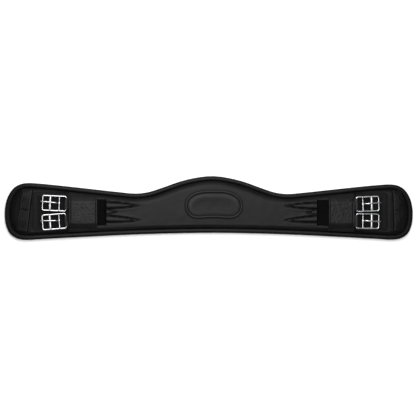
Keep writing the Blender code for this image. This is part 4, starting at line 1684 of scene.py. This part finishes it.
@dataclass
class EndKeeper:
    """The soft loop across an end, sewn down in the middle, that the saddle's straps lie under."""

    pad: GirthPad
    side: Side
    leather: float = 1.2 * MM
    width: float = 20.5 * MM
    half_span: float = 40.5 * MM
    step: float = 0.6 * MM

    def __post_init__(self) -> None:
        """Find the loop's middle and its slant."""
        low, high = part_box(f"{self.side.label}_end_keeper")
        moved_out = {Side.LEFT: 2.6 * MM, Side.RIGHT: 2.4 * MM}[self.side]
        self.clear = {Side.LEFT: 3.2 * MM, Side.RIGHT: 1.8 * MM}[self.side]
        self.middle = (low + high) / 2 + Vector((self.side.value * moved_out, 0.0, 0.0))
        lean = self.side.value * math.radians({Side.LEFT: 7.0, Side.RIGHT: 2.0}[self.side])
        self.outward = np.array([self.side.value * math.cos(lean), self.side.value * math.sin(lean)])
        self.frontward = np.array([-math.sin(lean), math.cos(lean)])

    def grid(self) -> np.ndarray:
        """Shape the middle of the loop's leather: two low arches with folds along them.

        Returns:
            Its points, from the inner edge outward and from the rear end to the front one.
        """
        out = np.arange(-self.width / 2, self.width / 2 + self.step / 2, self.step)
        along = np.arange(-self.half_span, self.half_span + 0.5 * MM, 1.0 * MM)
        o, v = np.meshgrid(out, along, indexing="ij")
        x = self.middle.x + self.outward[0] * o + self.frontward[0] * v
        y = self.middle.y + self.outward[1] * o + self.frontward[1] * v
        away = np.abs(v)
        sewn = 1.0 - ease(away, 0.3 * MM, 2.4 * MM) * (1.0 - 0.5 * ease(-o, 4.0 * MM, 9.0 * MM))
        free = (1.0 - 0.75 * sewn) * (1.0 - ease(away, 20.0 * MM, self.half_span - 1.0 * MM))
        slack = {Side.LEFT: 1.0, Side.RIGHT: 0.3}[self.side]
        seed = 51 + self.side.value
        line = v * 0.0
        folds = np.zeros_like(o)
        wander = 1.1 * MM * ripple(v, line, 30.0 * MM, seed)
        for index, place in enumerate((-7.6, -3.9, -0.2, 3.6, 7.2)):
            size = np.clip(0.85 + 0.4 * ripple(v, line, 20.0 * MM, seed + 5 + index), 0.0, 1.3)
            own = 0.45 * MM * ripple(v, line, 18.0 * MM, seed + 20 + index)
            folds += size * np.exp(-(((o - place * MM - wander - own) / (1.05 * MM)) ** 2))
        self.folds = folds * slack
        fine = ripple(x, y, 4.0 * MM, seed + 40, stretch=4.0)
        sag = 1.9 * MM * ease(o, -1.0 * MM, self.width / 2)
        base = self.pad.surface(x, y) + 0.2 * MM + self.leather / 2
        shape = (self.clear - sag) * free
        shape = shape + slack * (1.3 * MM * folds + 0.10 * MM * fine) * (0.3 + 0.7 * free)
        lip = 0.30 * MM * hump(o + self.width / 2 - 1.2 * MM, 1.4 * MM)
        return np.stack([x, y, base + shape + lip], axis=2)

    def bind_inner_edge(self, node: str) -> None:
        """Lay a black strip on the cover along the loop's inner edge, as painted shadow under that edge.

        Args:
            node: the loop's name.
        """
        out = np.linspace(-self.width / 2 - 1.7 * MM, -self.width / 2 + 0.6 * MM, 5)
        along = np.arange(-self.half_span, self.half_span + 0.5 * MM, 1.5 * MM)
        o, v = np.meshgrid(out, along, indexing="ij")
        x = self.middle.x + self.outward[0] * o + self.frontward[0] * v
        y = self.middle.y + self.outward[1] * o + self.frontward[1] * v
        grid = np.stack([x, y, self.pad.surface(x, y) + 0.35 * MM], axis=2)
        order = slice(None) if self.side is Side.RIGHT else slice(None, None, -1)
        shape = thick_grid(grid[order], 0.45 * MM, 0.2 * MM)
        # The black strip is a painted shadow line under the loop's inner edge.
        piece = stitch_into_piece(f"{node}_tape", shape, self.pad.palette.elastic)
        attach(piece, PAD_BODY)

    def build(self) -> None:
        """Make the loop and its threads."""
        palette = self.pad.palette
        node = f"{self.side.label}_end_keeper"
        grid = self.grid()
        order = slice(None) if self.side is Side.RIGHT else slice(None, None, -1)
        shape = thick_grid(grid[order], self.leather, 1.2 * MM)
        piece = stitch_into_piece(f"{node}_leather", shape, palette.keepers[self.side])
        rows, columns, _ = grid.shape
        inner_edge = np.arange(rows)[:, None] * self.step * np.ones((1, columns))
        # Painted highlight on the fold crests and a paler line near the inner edge.
        worn_and_highlighted = np.maximum(0.45 * self.folds, hump(inner_edge - 1.3 * MM, 1.5 * MM))
        mark(piece, "wear", np.tile(worn_and_highlighted[order].ravel(), 2))
        mark(piece, "crease", np.zeros(2 * rows * columns))
        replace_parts(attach(piece, PAD_BODY), node)
        self.bind_inner_edge(node)
        above = np.array([0.0, 0.0, self.leather / 2 + 0.03 * MM])
        middle = columns // 2
        lines = [grid[2:-2, middle], grid[2:-2, 2], grid[2:-2, -3]]
        shape = merged([seam(line + above, 2.4 * MM, 0.45 * MM) for line in lines])
        thread = stitch_into_piece(f"{node}_thread", shape, palette.thread)
        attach(thread, PAD_BODY)


@dataclass
class BuckleStrap:
    """One elastic with its sewn end inside the pad and the leather fold that holds the buckle."""

    pad: GirthPad
    side: Side
    row: Row
    elastic_width: float = 24.0 * MM
    elastic_thick: float = 1.8 * MM
    rib: float = 2.0 * MM
    entry: float = 208.0 * MM
    tail: float = 10.3 * MM
    chape_width: float = 23.2 * MM
    chape_leather: float = 1.5 * MM
    bore: float = 1.95 * MM

    def __post_init__(self) -> None:
        """Read the strap bar's place and direction from its joint."""
        self.name = f"{self.side.label}_{self.row.label}"
        joints = {joint["name"]: joint for joint in frame["joints"]}
        self.bar = np.array(joints[f"{self.name}_buckle_lift"]["pos_m"])
        self.out = np.array(joints[f"{self.name}_elastic_stretch"]["axis"])
        self.out = self.out / np.linalg.norm(self.out)
        self.lateral = np.cross([0.0, 0.0, 1.0], self.out)

    def build(self) -> None:
        """Make the elastic, the anchor and the chape."""
        self.build_elastic()
        self.build_anchor()
        self.build_chape()

    def build_elastic(self) -> None:
        """Make the woven elastic with ribs across it."""
        node = f"{self.name}_elastic"
        low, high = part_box(node)
        anchor_y = self.pad.anchor_rows[self.row]
        fan = math.atan2(self.bar[1] - anchor_y, abs(self.bar[0]) - self.entry)
        along = np.array([self.side.value * math.cos(fan), math.sin(fan), 0.0])
        lateral = np.cross([0.0, 0.0, 1.0], along)
        inner_end = min(abs(low.x), abs(high.x))
        tail_end = abs(self.bar[0]) - self.tail - 1.0 * MM
        far = np.arange(inner_end + 0.4 * MM, tail_end, 0.25 * MM)
        top = high.z - self.elastic_thick / 2
        bottom = low.z + self.elastic_thick / 2
        z = bottom + (top - bottom) * ease(far, *STRAP_DIVE)
        z += 0.11 * MM * np.sin(far * 2.0 * math.pi / self.rib) * ease(far, *STRAP_DIVE)
        distance = (far - abs(self.bar[0])) / math.cos(fan)
        line = np.array([self.bar[0], self.bar[1], 0.0]) + along * distance[:, None]
        line[:, 2] = z
        aside = np.linspace(-0.5, 0.5, 15) * self.elastic_width
        grid = line[:, None, :] + lateral * aside[None, :, None]
        grid[:, :, 2] -= 0.12 * MM * hump(self.elastic_width / 2 - np.abs(aside), 2.4 * MM)
        shape = thick_grid(grid, self.elastic_thick - 0.35 * MM, 0.8 * MM)
        piece = stitch_into_piece(f"{node}_band", shape, self.pad.palette.elastic)
        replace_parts(piece, node)
        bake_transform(piece)

    def build_anchor(self) -> None:
        """Make the pointed tab that the elastic's inner end is sewn against."""
        node = f"{self.name}_anchor"
        low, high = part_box(node)
        corners = node_outline(node, at_top=True)
        dense = evenly(corners, 1.5 * MM, closed=True)
        outline = Outline(dense, 0.75 * MM)

        def upper(x: np.ndarray, y: np.ndarray, depth: np.ndarray) -> np.ndarray:
            """Lie flat with softened edges and ribs across."""
            ribs = 0.08 * MM * np.sin(x * 2.0 * math.pi / self.rib)
            return high.z - 0.3 * MM * (1.0 - ease(depth, 0.0, 1.0 * MM)) + ribs - 0.1 * MM

        blank = Blank(outline, 0.0, 1.6 * MM, (0.4 * MM, 1.0 * MM), 1.5 * MM)
        shape = blank.solid(upper, flat_at(low.z))
        piece = stitch_into_piece(f"{node}_tab", shape, self.pad.palette.web)
        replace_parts(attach(piece, PAD_BODY), node)

    def build_chape(self) -> None:
        """Make the fold of leather round the strap bar and its stitched tail."""
        node = f"{self.name}_chape"
        low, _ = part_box(node)
        radius = self.bore + self.chape_leather / 2
        turn = np.radians(np.linspace(152.0, -112.0, 34))
        ring = np.column_stack([np.cos(turn), np.sin(turn)]) * radius
        tail_low = low.z - self.bar[2] + self.chape_leather / 2
        tail_high = tail_low + self.chape_leather + 0.15 * MM
        upper = np.array([(-self.tail, tail_high), (-self.tail + 2.5 * MM, tail_high)])
        lower = np.array([(-self.tail + 2.5 * MM, tail_low), (-self.tail, tail_low)])
        path = evenly(np.vstack([upper, ring, lower]), 0.45 * MM, closed=False)
        smooth = path.copy()
        for _ in range(3):
            smooth[1:-1] = (smooth[:-2] + 2.0 * smooth[1:-1] + smooth[2:]) / 4.0
        aside = np.linspace(-0.5, 0.5, 22) * self.chape_width
        grid = (
            self.bar
            + self.out * smooth[:, None, 0:1]
            + self.lateral * aside[None, :, None]
            + np.array([0.0, 0.0, 1.0]) * smooth[:, None, 1:2]
        )
        shape = thick_grid(grid, self.chape_leather, 0.9 * MM)
        body = f"{self.name}_strap"
        piece = stitch_into_piece(f"{node}_leather", shape, self.pad.palette.chape)
        # Painted highlight on the top of the fold round the bar, patchy across it.
        lit = ease(smooth[:, 1], -1.0 * MM, 1.5 * MM) * ease(smooth[:, 0], -6.0 * MM, -3.0 * MM)
        patchy = np.clip(0.75 + 0.5 * ripple(*np.meshgrid(aside, smooth[:, 0]), 5.0 * MM, 77), 0.0, 1.2)
        mark(piece, "wear", np.tile((lit[:, None] * patchy).ravel(), 2))
        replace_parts(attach(piece, body), node)
        rows = []
        for back in (self.tail - 1.6 * MM, self.tail - 3.6 * MM):
            across = np.linspace(-0.44, 0.44, 20) * self.chape_width
            row = self.bar - self.out * back + self.lateral * across[:, None]
            reach = np.interp(-back, smooth[:8, 0], smooth[:8, 1])
            row[:, 2] = self.bar[2] + reach + self.chape_leather / 2 + 0.05 * MM
            rows.append(seam(row, 2.4 * MM, 0.5 * MM))
        shape = merged(rows)
        thread = stitch_into_piece(f"{node}_thread", shape, self.pad.palette.thread)
        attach(thread, body)


@dataclass
class RollerBuckle:
    """A steel frame with a roller, and a tongue that turns on its own bar."""

    palette: Palette
    side: Side
    row: Row
    wire: float = 1.4 * MM
    half_width: float = 14.1 * MM
    length: float = 45.0 * MM
    corner: float = 3.2 * MM
    roller_radius: float = 2.6 * MM
    roller_length: float = 24.6 * MM
    tongue_wire: float = 1.25 * MM
    knuckle: float = 2.8 * MM

    def __post_init__(self) -> None:
        """Read the bars' places from the joints."""
        self.name = f"{self.side.label}_{self.row.label}"
        joints = {joint["name"]: joint for joint in frame["joints"]}
        self.bar = np.array(joints[f"{self.name}_buckle_lift"]["pos_m"])
        roller = np.array(joints[f"{self.name}_roller_turn"]["pos_m"])
        tongue = np.array(joints[f"{self.name}_tongue_lift"]["pos_m"])
        self.roller_at = float(np.linalg.norm(roller - self.bar))
        self.tongue_at = float(np.linalg.norm(tongue - self.bar))
        self.out = (roller - self.bar) / self.roller_at
        self.lateral = np.cross([0.0, 0.0, 1.0], self.out)
        places = {
            (Side.LEFT, Row.FRONT): (3.2, 0.8),
            (Side.LEFT, Row.REAR): (3.6, 1.3),
            (Side.RIGHT, Row.FRONT): (1.9, 0.4),
            (Side.RIGHT, Row.REAR): (-2.1, 0.8),
        }
        lean, slid = places[self.side, self.row]
        self.lean = math.radians(lean)
        self.slid = slid * MM

    def at(self, along: np.ndarray, aside: np.ndarray, up: np.ndarray) -> np.ndarray:
        """Turn the buckle's own coordinates into the girth's.

        Args:
            along: distances along the buckle.
            aside: distances across it.
            up: heights over its bar.

        Returns:
            The points.
        """
        return (
            self.bar
            + self.out * np.asarray(along)[..., None]
            + self.lateral * np.asarray(aside)[..., None]
            + np.array([0.0, 0.0, 1.0]) * np.asarray(up)[..., None]
        )

    def build(self) -> None:
        """Make the frame, the roller and the tongue."""
        self.build_frame()
        self.build_roller()
        self.build_tongue()

    def build_frame(self) -> None:
        """Bend the wire frame and weld its two inner bars in."""
        corners = [
            (self.corner, self.half_width - self.corner, 180.0),
            (self.length - self.corner, self.half_width - self.corner, 90.0),
            (self.length - self.corner, -self.half_width + self.corner, 0.0),
            (self.corner, -self.half_width + self.corner, -90.0),
        ]
        bends = []
        for along, aside, start in corners:
            turn = np.radians(start - np.linspace(0.0, 90.0, 9))
            bends.append(
                np.column_stack([along + self.corner * np.cos(turn), aside + self.corner * np.sin(turn)])
            )
        plan = evenly(np.vstack(bends), 0.9 * MM, closed=True)
        path = self.at(plan[:, 0], plan[:, 1], np.zeros(len(plan)))
        parts = [rod(path, self.wire, 16, closed=True)]
        for along in (self.tongue_at, self.roller_at):
            aside = np.linspace(-self.half_width, self.half_width, 41)
            inner, outer = self.half_width - 3.2 * MM, self.half_width - 1.2 * MM
            flare = 0.35 * MM * ease(np.abs(aside), inner, outer)
            bar = self.at(np.full_like(aside, along), aside, np.zeros_like(aside))
            parts.append(rod(bar, self.wire - 0.1 * MM + flare, 16))
        shape = merged(parts)
        node = f"{self.name}_buckle_frame"
        piece = stitch_into_piece(f"{node}_steel", shape, self.palette.steel, 70.0)
        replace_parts(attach(piece, f"{self.name}_buckle"), node)

    def build_roller(self) -> None:
        """Turn the roller from tube, with rounded lips."""
        half = self.roller_length / 2
        inner, outer, lip = self.wire + 0.2 * MM, self.roller_radius, 0.4 * MM
        bend = np.radians(np.linspace(0.0, 90.0, 5))
        right = [(half - lip + lip * math.sin(b), outer - lip + lip * math.cos(b)) for b in bend]
        left = [(-along, radius) for along, radius in right[::-1]]
        belly = [(along * half, outer + 0.06 * MM) for along in (-0.6, -0.2, 0.2, 0.6)]
        section = np.array(left + belly + right + [(half, inner), (-half, inner)])
        origin = self.at(np.array(self.roller_at), np.array(0.0), np.array(0.0))
        shape = lathe(section, 32, self.lateral, origin)
        node = f"{self.name}_roller"
        piece = stitch_into_piece(f"{node}_tube", shape, self.palette.roller, 45.0)
        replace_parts(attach(piece, f"{self.name}_roller_body"), node)

    def build_tongue(self) -> None:
        """Bend the tongue from wire, with its eye round the tongue bar and a rounded tip."""
        roller_run = self.roller_at - self.tongue_at
        end_run = self.length - self.tongue_at
        over_roller = self.roller_radius + self.tongue_wire + 0.3 * MM
        over_end = self.wire + self.tongue_wire + 0.3 * MM
        line = np.array(
            [
                (1.9 * MM, 1.2 * MM),
                (3.4 * MM, 2.0 * MM),
                (6.0 * MM, 3.2 * MM),
                (10.0 * MM, 4.1 * MM),
                (roller_run - 3.0 * MM, over_roller + 0.2 * MM),
                (roller_run, over_roller + 0.25 * MM),
                (roller_run + 3.0 * MM, over_roller + 0.15 * MM),
                (end_run - 5.0 * MM, over_end + 0.9 * MM),
                (end_run, over_end + 0.5 * MM),
                (end_run + 3.0 * MM, over_end + 0.1 * MM),
            ]
        )
        even = evenly(line, 1.0 * MM, closed=False)
        for _ in range(4):
            even[1:-1] = (even[:-2] + 2.0 * even[1:-1] + even[2:]) / 4.0
        turned = even[:, 0] * math.tan(self.lean) * self.side_sign()
        path = self.at(self.tongue_at + even[:, 0], self.slid_aside() + turned, even[:, 1])
        share = np.linspace(0.0, 1.0, len(path))
        radius = self.tongue_wire * (1.0 + 0.10 * hump(share - 0.15, 0.2) - 0.14 * ease(share, 0.8, 1.0))
        wire = rod(path, radius, 14)
        inner, outer = self.wire + 0.1 * MM, self.knuckle
        half = 2.2 * MM
        bend = np.radians(np.linspace(0.0, 90.0, 5))
        lip = 0.6 * MM
        right = [(half - lip + lip * math.sin(b), outer - lip + lip * math.cos(b)) for b in bend]
        left = [(-along, size) for along, size in right[::-1]]
        section = np.array(left + right + [(half, inner), (-half, inner)])
        origin = self.at(np.array(self.tongue_at), np.array(self.slid_aside()), np.array(0.0))
        eye = lathe(section, 28, self.lateral, origin)
        shape = merged([wire, eye])
        node = f"{self.name}_tongue"
        piece = stitch_into_piece(f"{node}_wire", shape, self.palette.steel, 60.0)
        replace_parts(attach(piece, f"{self.name}_tongue_body"), node)

    def side_sign(self) -> float:
        """Return the sign that turns towards the front edge into the buckle's own sideways."""
        return 1.0 if self.lateral[1] > 0 else -1.0

    def slid_aside(self) -> float:
        """Return how far the tongue has slid along its bar, in the buckle's own sideways."""
        return self.slid * self.side_sign()


@dataclass
class Studio:
    """White table, soft lights and the camera over it."""

    distance: float = 2.5
    tilt: float = 0.1043
    roll: float = 0.0019
    aim: tuple[float, float, float] = (-8.55 * MM, -0.10 * MM, 10.0 * MM)
    lens: float = 110.45
    key: float = 39.0
    ceiling: float = 15.0
    surroundings: float = 0.08

    def build(self) -> None:
        """Lay the table, hang the lights and set up the camera."""
        self.lay_table()
        self.hang_light("key_light", (-0.06, 0.62, 1.5), (1.15, 2.1), self.key)
        self.hang_light("ceiling_light", (0.0, 0.3, 2.6), (5.2, 3.6), self.ceiling)
        world = bpy.data.worlds.new("white_room")
        world.use_nodes = True
        background = world.node_tree.nodes["Background"]
        background.inputs["Color"].default_value = (1.0, 1.0, 1.0, 1.0)
        background.inputs["Strength"].default_value = self.surroundings
        bpy.context.scene.world = world
        self.set_camera()

    def lay_table(self) -> None:
        """Make the round table top under the girth."""
        turn = np.linspace(0.0, 2.0 * math.pi, 96, endpoint=False)
        rim = [(6.0 * math.cos(t), 6.0 * math.sin(t), -0.0004) for t in turn]
        mesh = bpy.data.meshes.new("table_top")
        mesh.from_pydata(rim, [], [tuple(range(len(rim)))])
        mesh.materials.append(TableFinish("white_table").make())
        table = bpy.data.objects.new("table_top", mesh)
        bpy.context.scene.collection.objects.link(table)

    def hang_light(
        self,
        name: str,
        place: tuple[float, float, float],
        size: tuple[float, float],
        power: float,
    ) -> None:
        """Hang a soft box that faces the girth.

        Args:
            name: the light's name.
            place: where it hangs.
            size: its width and depth.
            power: its power in watts.
        """
        lamp = bpy.data.lights.new(name, "AREA")
        lamp.shape = "RECTANGLE"
        lamp.size, lamp.size_y = size
        lamp.energy = power
        light = bpy.data.objects.new(name, lamp)
        light.location = place
        light.rotation_euler = (-Vector(place)).to_track_quat("-Z", "Y").to_euler()
        bpy.context.scene.collection.objects.link(light)

    def set_camera(self) -> None:
        """Put the camera nearly straight above, a little towards the left end."""
        back = Vector((-math.sin(self.tilt), 0.0, math.cos(self.tilt)))
        right = Vector((0.0, 1.0, 0.0)).cross(back).normalized()
        up = back.cross(right)
        right, up = right + up * self.roll, up - right * self.roll
        lens = bpy.data.cameras.new("camera")
        lens.lens = self.lens
        lens.sensor_width = 36.0
        lens.clip_start, lens.clip_end = 0.05, 50.0
        camera = bpy.data.objects.new("camera", lens)
        turned = Matrix((right, up, back)).transposed().to_4x4()
        camera.matrix_world = Matrix.Translation(Vector(self.aim) + back * self.distance) @ turned
        bpy.context.scene.collection.objects.link(camera)
        bpy.context.scene.camera = camera
        bpy.context.scene.view_settings.view_transform = "Standard"


def main() -> None:
    """Build the girth and its studio."""
    logging.basicConfig(level=logging.INFO, format="%(name)s: %(message)s")
    Studio().build()
    palette = Palette()
    pad = GirthPad(palette)
    pad.build()
    MiddlePatch(pad).build()
    for side in Side:
        BuckleGuard(pad, side).build()
        StrapSleeve(pad, side).build()
        EndKeeper(pad, side).build()
        for row in Row:
            BuckleStrap(pad, side, row).build()
            RollerBuckle(palette, side, row).build()


if __name__ == "__main__":
    main()
